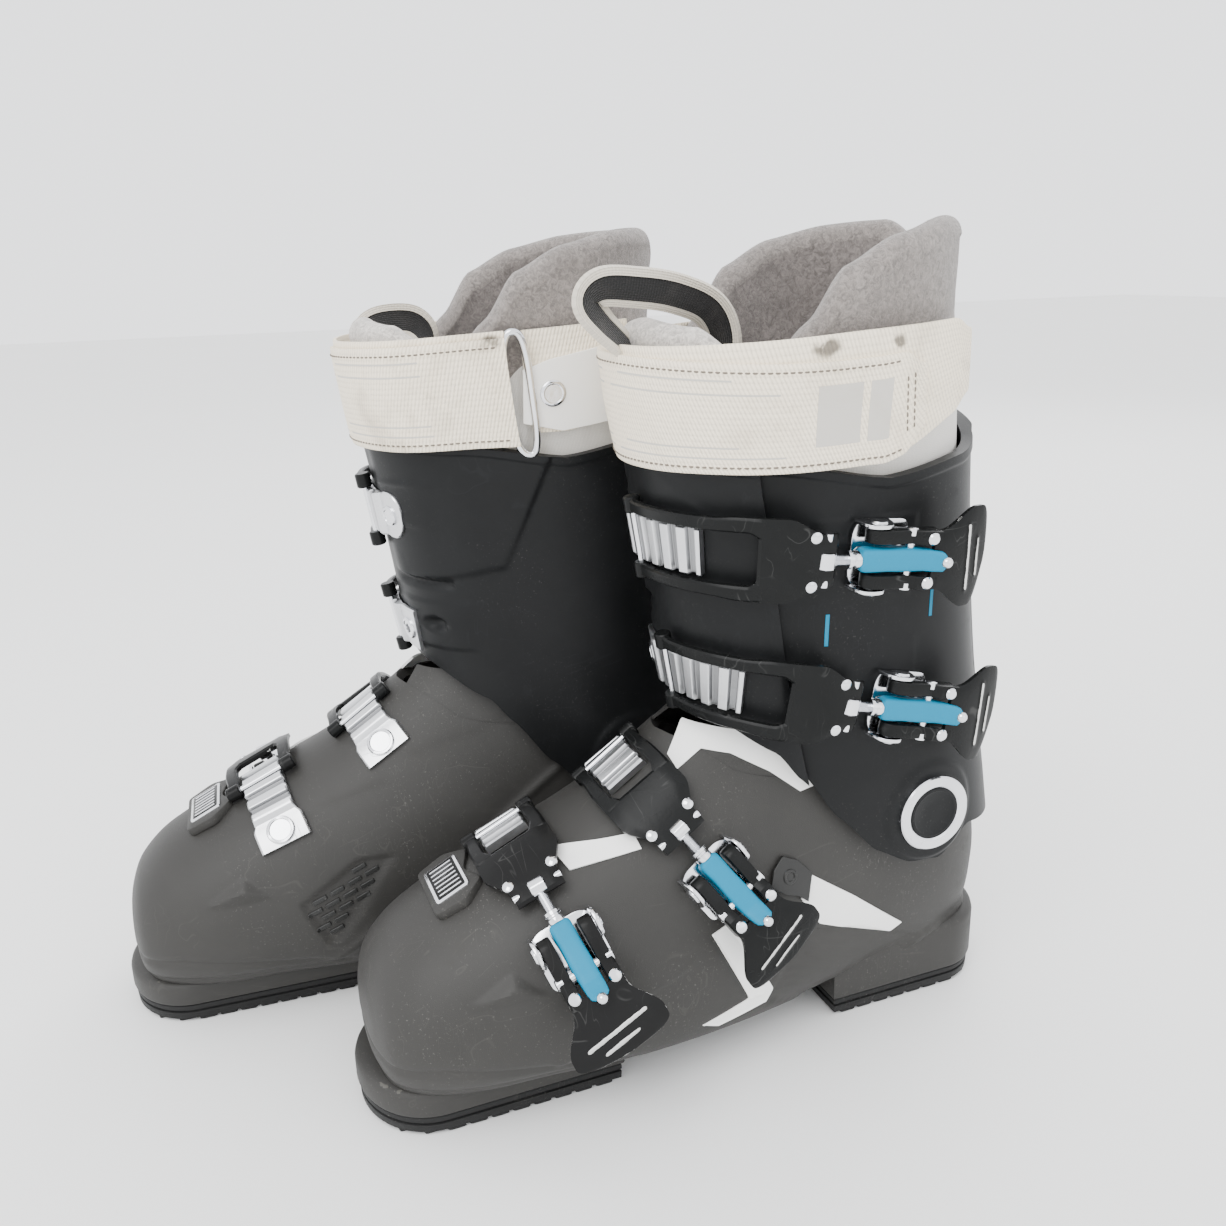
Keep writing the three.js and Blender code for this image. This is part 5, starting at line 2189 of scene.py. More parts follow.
@dataclass
class PullLoop:
    """A tape loop sewn to the tongue's top, for pulling the boot on."""

    standing: Standing
    width: float = 12.0
    thick: float = 1.5
    twist: float = 72.0

    def path(self) -> Array:
        """The loop's middle line in the plane x = 0, a smooth curve through ten points.

        Returns:
            Points y, z.
        """
        y = [-12, -21, -32, -38, -33, -20, -4, 11, 18, 19]
        z = [286, 297, 307, 315, 320, 319.5, 317, 311, 300, 286]
        if self.standing.side is Side.RIGHT:
            y = [-6, -10, -11, -7, 0, 7, 11, 13, 13, 12]
            z = [290, 297, 302, 305, 306, 305.5, 303, 299, 295, 290]
        rows = np.array([y, z], float).T
        return through(rows, np.linspace(0, len(y) - 1, 70))

    def build(self) -> list[bpy.types.Object]:
        """Builds the black tape and its two cream edges.

        Returns:
            The objects.
        """
        line = self.path()
        t = unit(np.gradient(line, axis=0))
        n = np.stack([-t[:, 1], t[:, 0]], -1)
        s = np.linspace(0, 1, len(line))[:, None]
        turn = np.radians(self.twist) * np.sin(np.pi * s) ** 0.6
        length = lengths(line)

        def layer(columns: Array, thick: float) -> tuple[Array, Array, Array]:
            """Over and under grids and u, v for a tape of these columns.

            Across is x turned towards the loop's own normal; out is across turned by a right angle.

            Args:
                columns: distances across the tape.
                thick: the tape's thickness.

            Returns:
                The over grid, the under grid, and u, v.
            """
            c, d = np.cos(turn), np.sin(turn)
            across = np.concatenate([c, d * n], -1)[:, None]
            out = np.concatenate([-d, c * n], -1)[:, None]
            cup = 0.01 * (columns**2)[None, :, None] + 0.5 * np.sin(
                columns[None, :, None] * 0.3 + 9 * s[:, None]
            )
            middle = np.concatenate([6 * np.sin(np.pi * s), line], -1)[:, None]
            mid = middle + across * columns[None, :, None] + out * cup
            uv = np.stack(np.broadcast_arrays(columns[None], length[:, None]), -1) * MM
            return mid + out * thick / 2, mid - out * thick / 2, uv

        tape = Piece("pull_loop", self.standing)
        over, under, uv = layer(np.linspace(-self.width / 2, self.width / 2, 9), self.thick)
        tape.slab(over[:, ::-1], under[:, ::-1], uv=uv[:, ::-1])
        for edge in (-1, 1):
            band = edge * self.width / 2 + np.linspace(-1.4, 1.4, 4)
            over, under, uv = layer(band, self.thick + 0.9)
            tape.slab(over[:, ::-1], under[:, ::-1], uv=uv[:, ::-1], slot=1)
        return [
            tape.make(
                [BLACK_WEB.material, CREAM_EDGE.material], self.standing.body("cuff_group")
            )
        ]


# ---- power strap ------------------------------------------------------------------------------------


@dataclass
class PowerStrap:
    """The webbing strap round the top: an inner run, an outer flap, its stitching, ring and tab."""

    standing: Standing
    span: tuple[float, float] = (-70.0, 128.0)
    flap_end: float = 103.0
    thick: float = 1.5
    width: float = 44.0
    clearance: float = 0.7
    waviness: float = 0.35

    def lift(self, angle: Array) -> Array:
        """How far the strap's inside stands off the shaft's form, less its clearance."""
        return np.where(angle < 0, cuff_lift(angle), over_flap(angle, 80))

    def edges(self, angle: Array) -> tuple[Array, float]:
        """The sections of the strap's low and high edge.

        Args:
            angle: angles round the boot in degrees, 0 at the front.

        Returns:
            The low edge's sections, and the high edge's one section.
        """
        low = stops((0, 7.25), (85, 7.3), (128, 7.95), (180, 8))
        rise = np.linalg.norm(
            SHAFT.point(np.array(8.5), np.array(0.0)) - SHAFT.point(np.array(7.5), np.array(0.0))
        )
        return low(angle), 7.25 + self.width / rise

    def face(self, angle: Array) -> Array:
        """The share of the strap's width that the outer flap covers, less towards its end."""
        return 0.95 - 0.13 * ease(angle, -10, 75)

    def run(
        self,
        piece: Piece,
        span: tuple[float, float],
        inner: float,
        thick: float,
        taper: tuple[float, float],
        flap: bool = False,
        columns: int = 160,
    ) -> float:
        """Adds one length of webbing; returns its length in metres.

        Args:
            piece: what to add to.
            span: its angles.
            inner: how far its inside stands off the strap's seat.
            thick: its thickness.
            taper: how far its two ends are cut in at the corners, as a share of the width.
            flap: whether it is the outer flap, which leaves a band of the inner run in view.
            columns: points along it.

        Returns:
            The length along the middle of the cloth.
        """
        angle = np.linspace(*span, columns)[None]
        t = np.linspace(0, 1, 25)[:, None]
        low, high = self.edges(angle)
        at_end = np.maximum(
            1 - ease(angle, span[0], span[0] + 9), 0
        ) * taper[0] + ease(angle, span[1] - 9, span[1]) * taper[1]
        pinch = 0.5 * at_end
        cover = self.face(angle) if flap else 1.0
        v = mix(low, high, (t * (1 - 2 * pinch) + pinch) * cover)
        a = np.broadcast_to(angle, v.shape)
        seat = self.clearance + inner + self.lift(a)
        ripple = self.waviness * hills(SHAFT.point(v, a), 38, 11)
        edge = 0.35 * (ease(t, 0.0, 0.06) + 1 - ease(t, 0.94, 1.0) - 1)
        over = SHAFT.offset(v, a, seat + thick + ripple + edge)
        under = SHAFT.offset(v, a, seat + ripple)
        length = lengths(over[12])
        uv = np.stack(
            [np.broadcast_to(length[None], v.shape), np.broadcast_to(t * self.width, v.shape)], -1
        ) * MM
        p = SHAFT.point(v, a)
        stain = 0.25 * ease(hills(p, 55, 3), 0.2, 1.0)
        for cy, cz, size in ((30.0, 299.0, 5.0), (58.0, 299.5, 3.0)):
            spot = np.exp(-(((p[..., 1] - cy) / size) ** 2 + ((p[..., 2] - cz) / (size * 0.6)) ** 2))
            stain = np.maximum(stain, spot)
        piece.slab(over, under, uv=uv, mark=stain)
        return float(length[-1]) * MM

    def stitches(
        self, piece: Piece, angle: Array, at: Array | float, off: float, slot: int, gap: float = 2.6
    ) -> None:
        """Adds a dashed seam along angles, at shares `at` of the strap's width.

        Each dash is a short rod whose two ends sink into the cloth.

        Args:
            piece: what to add to.
            angle: the angles that the seam passes.
            at: its share of the strap's width.
            off: how far it stands off the strap's seat.
            slot: finish number.
            gap: millimetres from dash to dash.
        """
        low, high = self.edges(angle)
        v = mix(low, high, at * self.face(angle))
        ripple = self.waviness * hills(SHAFT.point(v, angle), 38, 11)
        line = SHAFT.offset(v, angle, self.lift(angle) + self.clearance + off + ripple)
        arc = lengths(line)
        n = SHAFT.normal(v, angle)
        for s in np.arange(1.0, arc[-1] - 2, gap):
            t = s + np.linspace(0, gap * 0.62, 4)
            path = np.stack([np.interp(t, arc, line[:, k]) for k in range(3)], -1)
            lift = np.stack([np.interp(t, arc, n[:, k]) for k in range(3)], -1)
            piece.rod(path + lift * (np.array([-0.3, 0.14, 0.14, -0.3]))[:, None], 0.36, sides=5, slot=slot)

    def build(self) -> list[bpy.types.Object]:
        """Builds every piece of the strap.

        Returns:
            The objects.
        """
        group = self.standing.body("cuff_group")
        inner = Piece("strap_inner", self.standing)
        inner_length = self.run(inner, (self.span[0], self.span[1]), 0.0, self.thick, (0.0, 0.25))
        flap = Piece("strap_flap", self.standing)
        flap_length = self.run(
            flap, (self.span[0], self.flap_end), self.thick + 0.25, self.thick, (0.0, 0.3), flap=True
        )
        trim = Piece("strap_trim", self.standing)
        end = self.flap_end
        top = 2 * self.thick + 0.6
        for at in (0.07, 0.93):
            self.stitches(trim, np.linspace(self.span[0] + 3, end - 9, 400), at, top, 0)
        for inset in (5.0, 8.0):
            self.stitches(trim, np.full(200, end - inset), np.linspace(0.2, 0.8, 200), top, 0)
        self.lines(trim, top)
        inside_ = inner.make([WEBBING.material], group, ("power_strap",))
        outside = flap.make([WEBBING.material], group)
        seams = trim.make([THREAD.material, PATCH.material], group)
        self.standing.body("cuff_shell")
        return [inside_, outside, seams, *self.fittings(group)]

    def lines(self, piece: Piece, off: float) -> None:
        """Adds two pale slanted patches near the flap's end, and faint printed lines along it."""
        for start, stop in ((60.0, 76.0), (79.0, 88.0)):
            t = np.linspace(0.24, 0.8, 16)[:, None]
            angle = np.linspace(start, stop, 20)[None] + 4.0 * (t - 0.5)
            low, high = self.edges(angle)
            v = mix(low, high, t * self.face(angle))
            seat = self.lift(angle) + self.clearance + off + self.waviness * hills(
                SHAFT.point(v, angle), 38, 11
            )
            piece.slab(SHAFT.offset(v, angle, seat + 0.1), SHAFT.offset(v, angle, seat - 0.5), slot=1)
        for row, at in enumerate((0.16, 0.26, 0.74, 0.86)):
            for start, stop in ((-40, -6), (-1 + 5 * (row % 2), 50 - 12 * (row % 2))):
                angle = np.linspace(start, stop, 40)[None]
                t = at + np.array([-0.008, 0.008])[:, None]
                low, high = self.edges(angle)
                v = mix(low, high, t * self.face(angle))
                a = np.broadcast_to(angle, v.shape)
                seat = self.lift(a) + self.clearance + off + self.waviness * hills(
                    SHAFT.point(v, a), 38, 11
                )
                piece.slab(SHAFT.offset(v, a, seat + 0.08), SHAFT.offset(v, a, seat - 0.4), slot=1)

    def fittings(self, group: str) -> list[bpy.types.Object]:
        """Builds the inner side's ring, return strap, tab and rivet.

        Args:
            group: the body that they ride on.

        Returns:
            The objects: return strap, ring and tab.
        """
        made = []
        back = Piece("strap_return", self.standing)
        angle = np.linspace(-126, -77, 60)[None]
        t = np.linspace(0, 1, 21)[:, None]
        low, high = 7.45, self.edges(np.array([0.0]))[1] - 0.03
        v = mix(low + 0.25 * ease(-angle, 90, 126), high, t)
        a = np.broadcast_to(angle, v.shape)
        seat = -3.4
        over, under = SHAFT.offset(v, a, seat + 1.5), SHAFT.offset(v, a, seat)
        length = lengths(over[10])
        uv = np.stack([np.broadcast_to(length[None], v.shape), np.broadcast_to(t * 42, v.shape)], -1) * MM
        back.slab(over, under, uv=uv, mark=0.2)
        strap = back.make([WEBBING.material], group)
        made.append(strap)
        ring = Piece("strap_ring", self.standing)
        s = np.linspace(0, 2 * np.pi, 72, endpoint=False)
        va = 8.05 + 0.93 * np.sign(np.sin(s)) * np.abs(np.sin(s)) ** 0.55
        aa = -73.5 + 5.2 * np.sign(np.cos(s)) * np.abs(np.cos(s)) ** 0.8
        ring.rod(SHAFT.offset(va, aa, 0.4), 1.7, sides=12, loop=True)
        made.append(ring.make([CHROME.material], group))
        tab = Piece("strap_tab", self.standing)
        corners = [(43, 265), (43.5, 287), (55, 291), (82.6, 296), (84, 264), (60, 261)]
        rows = np.linspace(0, 1, 16)[:, None, None]
        upper, lower = resampled(corners[1:4], 40), resampled([corners[0], corners[5], corners[4]], 40)
        flat = mix(lower[None], upper[None], rows)
        v, angle = SHAFT.find(flat[..., 0], flat[..., 1], False)
        off = -1.6
        over, under = SHAFT.offset(v, angle, off + 1.0), SHAFT.offset(v, angle, off - 0.4)
        tab.slab(over, under)
        at = SHAFT.find(np.array([56.0]), np.array([277.0]), False)
        o, n = SHAFT.offset(*at, -0.7)[0], SHAFT.normal(*at)[0]
        x = unit(np.cross(n, np.array([0.0, 0, 1])))
        head = [(0, -1), (5.6, -1), (5.6, 0.5), (5.0, 1.0), (4.1, 1.2), (3.9, 0.9), (0, 0.8)]
        tab.turned(head, frame_of(o, x, np.cross(n, x), n), sides=40, slot=1)
        made.append(tab.make([TAB_PLASTIC.material, CHROME.material], group, bevel=0.5))
        return made


# ---- buckles ----------------------------------------------------------------------------------------


class Lock(Enum):
    """How a ladder ends on the inner side of the boot."""

    PLATE = "plate"
    SCREW = "screw"
    ROUND = "round"


@dataclass
class Buckle:
    """One lever buckle: base, lever, threaded adjuster, bail and toothed ladder."""

    standing: Standing
    name: str
    on_shaft: bool
    section: float
    angle: float
    reach: float
    before: int
    after: int
    lock: Lock
    battered: bool = False
    pin: float = 7.5
    back: float = 13.0
    rise: float = 10.0
    link: tuple[float, float] = (20.0, 6.5)
    half_bail: float = 16.5

    def __post_init__(self) -> None:
        """Works out the line that the buckle follows and the bodies it rides on."""
        self.strap = Strap(SHAFT if self.on_shaft else FOOT, self.section, self.angle, self.on_shaft)
        self.home = self.standing.body("cuff_group") if self.on_shaft else "shells"
        self.paint = TOE_PAINT if self.battered else BLACK_PAINT

    def part(self, piece: str) -> str:
        """A piece's name with the buckle's."""
        return f"{self.name}_{piece}"

    def base(self) -> bpy.types.Object:
        """The pressed base: a bed, two ears with pin heads, and two fixing rivets.

        Returns:
            The object.
        """
        piece = Piece(self.part("bed"), self.standing)
        m = self.strap.frame(0.0)
        bed = rounded(
            [(-13.2, -15), (-9, -17), (9, -17), (13.2, -15), (13.5, 4), (9, 7), (-9, 7), (-13.5, 4)], 2.5
        )
        piece.plate(bed, 0.5, 2.0, rim=0.35, m=m)
        ear = rounded(
            [(-7.5, 1.0), (7.5, 1.0), (6.2, 7.5), (4.6, 11.2), (0.5, 12.4), (-4.2, 11.6), (-6.6, 7.0)], 2.2
        )
        for s in (-1, 1):
            stand = crosswise(12.75 * s, 0.0, 0.0, s)
            outline = ear if s > 0 else ear * [-1, 1]
            outline = outline if s > 0 else outline[::-1]
            piece.plate(outline, -0.75, 0.75, rim=0.3, m=m @ stand)
            head = [(0, -1.2), (3.4, -1.2), (3.4, 0.5), (3.0, 1.0), (1.6, 1.35), (0, 1.4)]
            hub = crosswise(13.4 * s, 0.0, self.pin, s)
            piece.turned(head, m @ hub, sides=28)
            shank = crosswise(6.6 * s, 0.0, self.pin, s)
            piece.turned([(0, 0), (2.0, 0), (2.0, 6.6), (0, 6.6)], m @ shank, sides=16)
        for y in (-13.5, 3.2):
            piece.turned(
                [(0, 1.5), (3.0, 1.5), (2.7, 2.4), (1.4, 2.9), (0, 3.0)], m @ shift(0, y, 0), sides=24
            )
        return piece.make(
            [CHROME.material], self.home, (self.part("buckle_base"),), edge=Edge.CRISP
        )

    def lever(self) -> bpy.types.Object:
        """The painted lever: two arms round the adjuster, then a flared plate with worn ridges.

        The plate is a grid: across from edge to edge, onward to the tip; its half width eases from
        the arms' to the flare's and closes as an ellipse at the tip, and its height falls as 6 t^2.

        Returns:
            The object.
        """
        piece = Piece(self.part("handle"), self.standing)
        m = self.strap.frame(0.0) @ shift(0, 0, self.pin)
        up = self.rise - self.pin
        arm = [(-24, up + 4.4), (-24, up - 2.6), (-17.5, up - 3.4), (-10, up - 3.2), (-6.5, -1.8)]
        round_ = [(4.4 * math.cos(a), 4.4 * math.sin(a)) for a in np.radians(np.linspace(-125, 90, 16))]
        arm = np.array(arm + round_ + [(-6, 4.9), (-9, up + 2.2), (-13, up + 1.9), (-16, up + 4.2)])
        for s in (-1, 1):
            stand = crosswise(8.75 * s, 0.0, 0.0, s)
            outline = arm * [s, 1]
            outline = outline if s > 0 else outline[::-1]
            piece.plate(outline, -2.75, 2.75, rim=0.7, mark=0.75, m=m @ stand)
            for y, z, r in ((0.0, 0.0, 2.6), (-self.back, up, 2.3)):
                hub = crosswise(11.3 * s, y, z, s)
                top = 0.15 if y == 0 else 0.9
                piece.turned(
                    [(0, -2), (r, -2), (r, top - 0.3), (r - 0.5, top), (0, top + 0.15)],
                    m @ hub,
                    sides=24,
                    slot=1
                )
            stud = m @ shift(8.6 * s, -20.0, up + 4.2)
            piece.turned([(0, -1), (2.4, -1), (2.4, 0.6), (1.9, 1.1), (0, 1.3)], stud, sides=20, slot=1)
        pin = crosswise(-11.2, -self.back, up)
        piece.turned([(0, 0), (1.7, 0), (1.7, 22.4), (0, 22.4)], m @ pin, sides=16, slot=1)
        t = np.linspace(0, 1, 64)[:, None]
        c = np.linspace(-1, 1, 49)[None]
        y = mix(-21.0, -47.0, t)
        wide = mix(11.6, 20.0, ease(t, 0.1, 0.7))
        close = np.sqrt(np.maximum(1 - (np.clip(t - 0.80, 0, 1) / 0.2) ** 2.4, 0.02))
        x = c * wide * (0.12 + 0.88 * close)
        z = up + 4.4 - 6 * t * t - 1.0 * (np.abs(c) ** 4) * (1 - 0.3 * t)
        tall = bell(y + 37.5 - 0.12 * x, 0.9) * (1 - ease(np.abs(x), 12.5, 14.5))
        short = bell(y + 42.3 - 0.12 * x, 0.8) * (1 - ease(np.abs(x), 7.0, 9.0))
        edge = np.maximum(ease(np.abs(c) + 0 * t, 0.93, 0.99), ease(t + 0 * c, 0.95, 1.0))
        mark = np.maximum(np.maximum(tall, short) ** 0.7 * 1.45, edge * 0.95)
        over = np.stack([x, y + 0 * c, z + 0.55 * np.maximum(tall, short)], -1)
        under = np.stack([x * 0.985, y + 0 * c, z - 2.0 + 0 * c], -1)
        piece.slab(over[::-1], under[::-1], mark=mark[::-1], m=m)
        return piece.make(
            [self.paint.material, CHROME.material],
            self.standing.body(self.part("lever")),
            (self.part("lever"),),
            edge=Edge.CRISP
        )

    def adjuster(self) -> bpy.types.Object:
        """The turquoise sleeve with its upturned tail, and the chromed bolt and eye.

        The sleeve is a squared ring carried along its axis, its half width and height eased through
        stops; the ring's points obey |x / w|^5 + |z / h|^5 = 1.

        Returns:
            The object.
        """
        piece = Piece(self.part("barrel"), self.standing)
        m0 = self.strap.frame(0.0)
        start = (m0 @ np.array([0, -self.back, self.rise, 1]))[:3]
        o, _, _, out = self.strap.frames(np.array(self.link[0]))
        finish = o + out * self.link[1]
        length = float(np.linalg.norm(finish - start))
        y = (finish - start) / length
        x = m0[:3, 0]
        m = frame_of(start, x, y, np.cross(x, y))
        stations = np.array([-12.5, -11.5, -8.5, -5, -2.5, 0, 4, 8, 11, 14, 18, 19.4, 20])
        wide = np.array([2.6, 3.7, 4.1, 4.3, 4.4, 4.5, 4.5, 4.4, 4.4, 4.5, 4.5, 4.2, 3.0])
        tall = np.array([1.0, 2.0, 2.4, 3.0, 3.6, 3.8, 3.7, 3.5, 3.5, 3.6, 3.6, 3.3, 2.4])
        lift = np.array([5.6, 4.9, 2.9, 0.9, 0.2, 0, 0, 0, 0, 0, 0, 0, 0])
        s = np.linspace(-12.5, 20, 70)
        w, h, l = (np.interp(s, stations, k)[:, None] for k in (wide, tall, lift))
        a = np.linspace(0, 2 * np.pi, 40, endpoint=False)[None]
        r = (np.abs(np.cos(a)) ** 5 + np.abs(np.sin(a)) ** 5) ** (-1 / 5)
        grid = np.stack([w * r * np.cos(a), s[:, None] + 0 * a, l + h * r * np.sin(a)], -1)
        piece.skin(grid[:, ::-1], around=True, caps=True, m=m)
        spin = m @ facing_y()
        ball = [(2.3 * math.sin(b), -2.3 * math.cos(b)) for b in np.linspace(0.05, math.pi - 0.05, 12)]
        piece.turned(ball, m @ shift(0, -12.8, 6.0), sides=24, slot=1)
        collar = [
            (0, 19.6),
            (3.3, 19.8),
            (3.5, 20.6),
            (3.5, 21.8),
            (2.9, 22.4),
            (2.9, 23.0),
            (3.6, 23.4),
            (3.6, 24.6)
        ]
        turns = np.linspace(24.8, length - 3.0, 34)
        thread = [(2.15 + 0.16 * math.cos(k * math.pi), float(q)) for k, q in enumerate(turns)]
        piece.turned([*collar, *thread, (0, length - 2.6)], spin, sides=24, slot=1)
        eye = crosswise(-3.2, length, 0.0)
        piece.turned(
            [(2.0, 0), (3.2, 0), (3.6, 0.4), (3.6, 6.0), (3.2, 6.4), (2.0, 6.4)],
            m @ eye,
            sides=24,
            slot=1,
            loop=True
        )
        return piece.make(
            [TURQUOISE.material, CHROME.material],
            self.standing.body(self.part("adjuster")),
            (self.part("adjuster"),)
        )

    def bail(self) -> bpy.types.Object:
        """The painted bail: a tapered plate, two rails beside its window, knuckles and pins.

        Every plate is a grid in (across, onward, out) that the strap's line bends round the boot.

        Returns:
            The object.
        """
        piece = Piece(self.part("loop"), self.standing)
        first, low0 = self.link[0] - 3.6, 3.9
        share = lambda s: (s - self.link[0]) / (self.reach - self.link[0])
        high = lambda s: mix(low0, 2.2, share(s)) + 4.3
        window = self.link[0] + 21

        def bar(s: Array, left: Array, right: Array, thick: float) -> None:
            """Adds a plate between two edges, crowned across and eased at its rims.

            Args:
                s: arcs along the strap's line.
                left: its left edge across.
                right: its right edge across.
                thick: its thickness.
            """
            c = np.linspace(0, 1, 15)[None]
            x = mix(left[:, None], right[:, None], c)
            rim = 0.8 * (1 - ease(c, 0, 0.16)) + 0.8 * ease(c, 0.84, 1.0)
            end = 0.8 * (1 - ease(s, s[0], s[0] + 1.2)) + 0.8 * ease(s, s[-1] - 1.2, s[-1])
            top = high(s)[:, None] - rim - end[:, None]
            bottom = high(s)[:, None] - thick + 0.5 * rim + 0.3 * end[:, None]
            y = np.broadcast_to(s[:, None], x.shape)
            mark = np.broadcast_to(np.maximum(rim / 0.8, end[:, None] / 0.8), x.shape)
            over, under = np.stack([x, y, top], -1), np.stack([x, y, bottom], -1)
            piece.slab(self.strap.carry(over), self.strap.carry(under), mark=mark * 0.85)

        s = np.linspace(first, window + 1.5, 46)
        spread = mix(10.2, self.half_bail, ease(s, first + 5, first + 17))
        bar(s, -spread, spread, 3.0)
        for side in (-1, 1):
            s = np.linspace(window - 1, self.reach + 1.0, 60)
            inner = 10.6 - 3.2 * (1 - ease(s, window - 1, window + 5))
            outer = self.half_bail - 0.9 * ease(s, window + 8, window + 18) + 0.8 * ease(
                s, self.reach - 5, self.reach - 2
            )
            edges = (inner, outer) if side > 0 else (-outer, -inner)
            bar(s, *edges, 3.0)
            centre = self.strap.frame(self.reach)
            seat, plate, gap, pin_radius = 0.7, 1.9, 0.5, 1.3
            hook = seat + plate + gap + pin_radius
            hub = crosswise(side * 10.4, 0.0, hook, side)
            piece.turned(
                [(0, 0), (2.9, 0), (3.4, 0.5), (3.4, 5.9), (2.9, 6.4), (0, 6.4)],
                centre @ hub,
                sides=26,
                mark=0.5
            )
            stud = self.strap.frame(self.link[0] + 5) @ shift(
                side * 9.6, 0, float(high(np.array(self.link[0] + 5))) - 0.4
            )
            piece.turned([(0, -0.5), (2.3, -0.5), (2.2, 0.5), (1.3, 1.0), (0, 1.1)], stud, sides=20, slot=1)
        cross = self.strap.frame(self.reach)
        pin = crosswise(-15.5, 0.0, hook)
        piece.turned([(0, 0), (1.3, 0), (1.3, 31), (0, 31)], cross @ pin, sides=14, slot=1)
        linked = self.strap.frame(self.link[0])
        pin = frame_of(
            np.array([-10.4, 0.0, self.link[1]]),
            np.array([0.0, 1, 0]),
            np.array([0.0, 0, 1]),
            np.array([1.0, 0, 0])
        )
        piece.turned([(0, 0), (1.6, 0), (1.6, 20.8), (0, 20.8)], linked @ pin, sides=14, slot=1)
        return piece.make(
            [self.paint.material, CHROME.material],
            self.standing.body(self.part("bail")),
            (self.part("bail"),),
            edge=Edge.CRISP
        )

    def ladder(self) -> bpy.types.Object:
        """The cast ladder: a sawtooth plate, its notched run-out and its fixing.

        Height along the arc is a saw wave: up a steep face, level over the crest, down a slope; the
        sides are chamfered by 0.8 mm.

        Returns:
            The object.
        """
        piece = Piece(self.part("teeth"), self.standing)
        pitch, plate, tooth = 7.5, 1.9, 1.9
        start = self.reach - (self.before + 0.5) * pitch
        ending = self.reach + (self.after + 0.5) * pitch
        crest = np.array([0.0, 0.2, 0.25, 0.31, 0.34, 0.62, 0.66, 0.74, 0.79, 1.0])
        rise = np.array([1.0, 1.0, 0.88, 0.1, 0.0, 0.0, 0.1, 0.88, 1.0, 1.0])
        count = self.before + self.after + 1
        s = np.concatenate([start + (k + crest) * pitch + 1e-3 * k for k in range(count)])
        h = np.tile(rise, count) * tooth
        s = np.concatenate(
            [s, [ending + 0.9, ending + 1.5, ending + 3.2], np.linspace(ending + 4, ending + 16, 14)]
        )
        h = np.concatenate([h, [tooth, 1.6, 0.1], np.zeros(14)])
        tail = ease(s, ending + 2, ending + 6)
        wide = {Lock.PLATE: 11.6, Lock.SCREW: 10.4, Lock.ROUND: 10.6}[self.lock]
        half = mix(9.75, wide, tail)
        if self.lock is Lock.ROUND:
            u = np.clip((s - (ending + 8)) / 8, 0, 1)
            half = half * np.sqrt(np.maximum(1 - 0.9 * u**2.2, 0.05))
        c = np.array([-1, -0.985, -0.92, -0.5, 0, 0.5, 0.92, 0.985, 1])[None]
        chamfer = np.array([0.9, 0.55, 0.0, 0, 0, 0, 0.0, 0.55, 0.9])[None] * 0.8
        x = half[:, None] * c
        top = 0.7 + plate + h[:, None] - chamfer
        angle_drop = np.interp(s, [ending, ending + 12], [0, 1])
        if self.on_shaft:
            o = self.strap.frames(s)[0]
            angles = np.degrees(np.arctan2(o[:, 0], -(o[:, 1] - 52)))
            drop = (FLAP_LIFT - cuff_lift(angles)) * angle_drop
        else:
            drop = np.zeros(len(s))
        y = np.broadcast_to(s[:, None], x.shape)
        over = np.stack([x, y, top - drop[:, None]], -1)
        under = np.stack([x, y, 0.7 - drop[:, None] + 0 * x], -1)
        # painted shade in the gullies between the teeth, passed as the mark that the metal finish darkens
        gully_shade = (1 - h / tooth) * (1 - ease(s, ending, ending + 1))
        piece.slab(
            self.strap.carry(over),
            self.strap.carry(under),
            mark=np.broadcast_to(0.8 * gully_shade[:, None], x.shape)
        )
        at = ending + (9.5 if self.lock is not Lock.ROUND else 8.0)
        base = self.strap.frame(at) @ shift(0, 0, 0.7 + plate - float(np.interp(at, s, drop)))
        big = {Lock.PLATE: 6.4, Lock.SCREW: 5.2, Lock.ROUND: 4.6}[self.lock]
        head = [
            (0, -0.6),
            (big, -0.6),
            (big, 0.5),
            (big - 0.5, 1.0),
            (big - 1.4, 1.15),
            (big - 1.7, 0.8),
            (0, 0.7)
        ]
        piece.turned(head, base, sides=36, slot=1)
        if self.lock is Lock.SCREW:
            star = np.linspace(0, 2 * np.pi, 48, endpoint=False)
            radius = 1.9 + 0.5 * np.cos(6 * star)
            piece.plate(
                np.stack([radius * np.cos(star), radius * np.sin(star)], -1),
                0.6,
                0.95,
                rim=0.1,
                slot=2,
                m=base
            )
        return piece.make(
            [CAST.material, CHROME.material, SCREW.material],
            self.home,
            (self.part("ladder"),),
            edge=Edge.CRISP
        )

    def build(self) -> list[bpy.types.Object]:
        """Builds the buckle's five pieces.

        Returns:
            The objects.
        """
        return [self.base(), self.lever(), self.adjuster(), self.bail(), self.ladder()]


# ---- the pair and its setting -----------------------------------------------------------------------


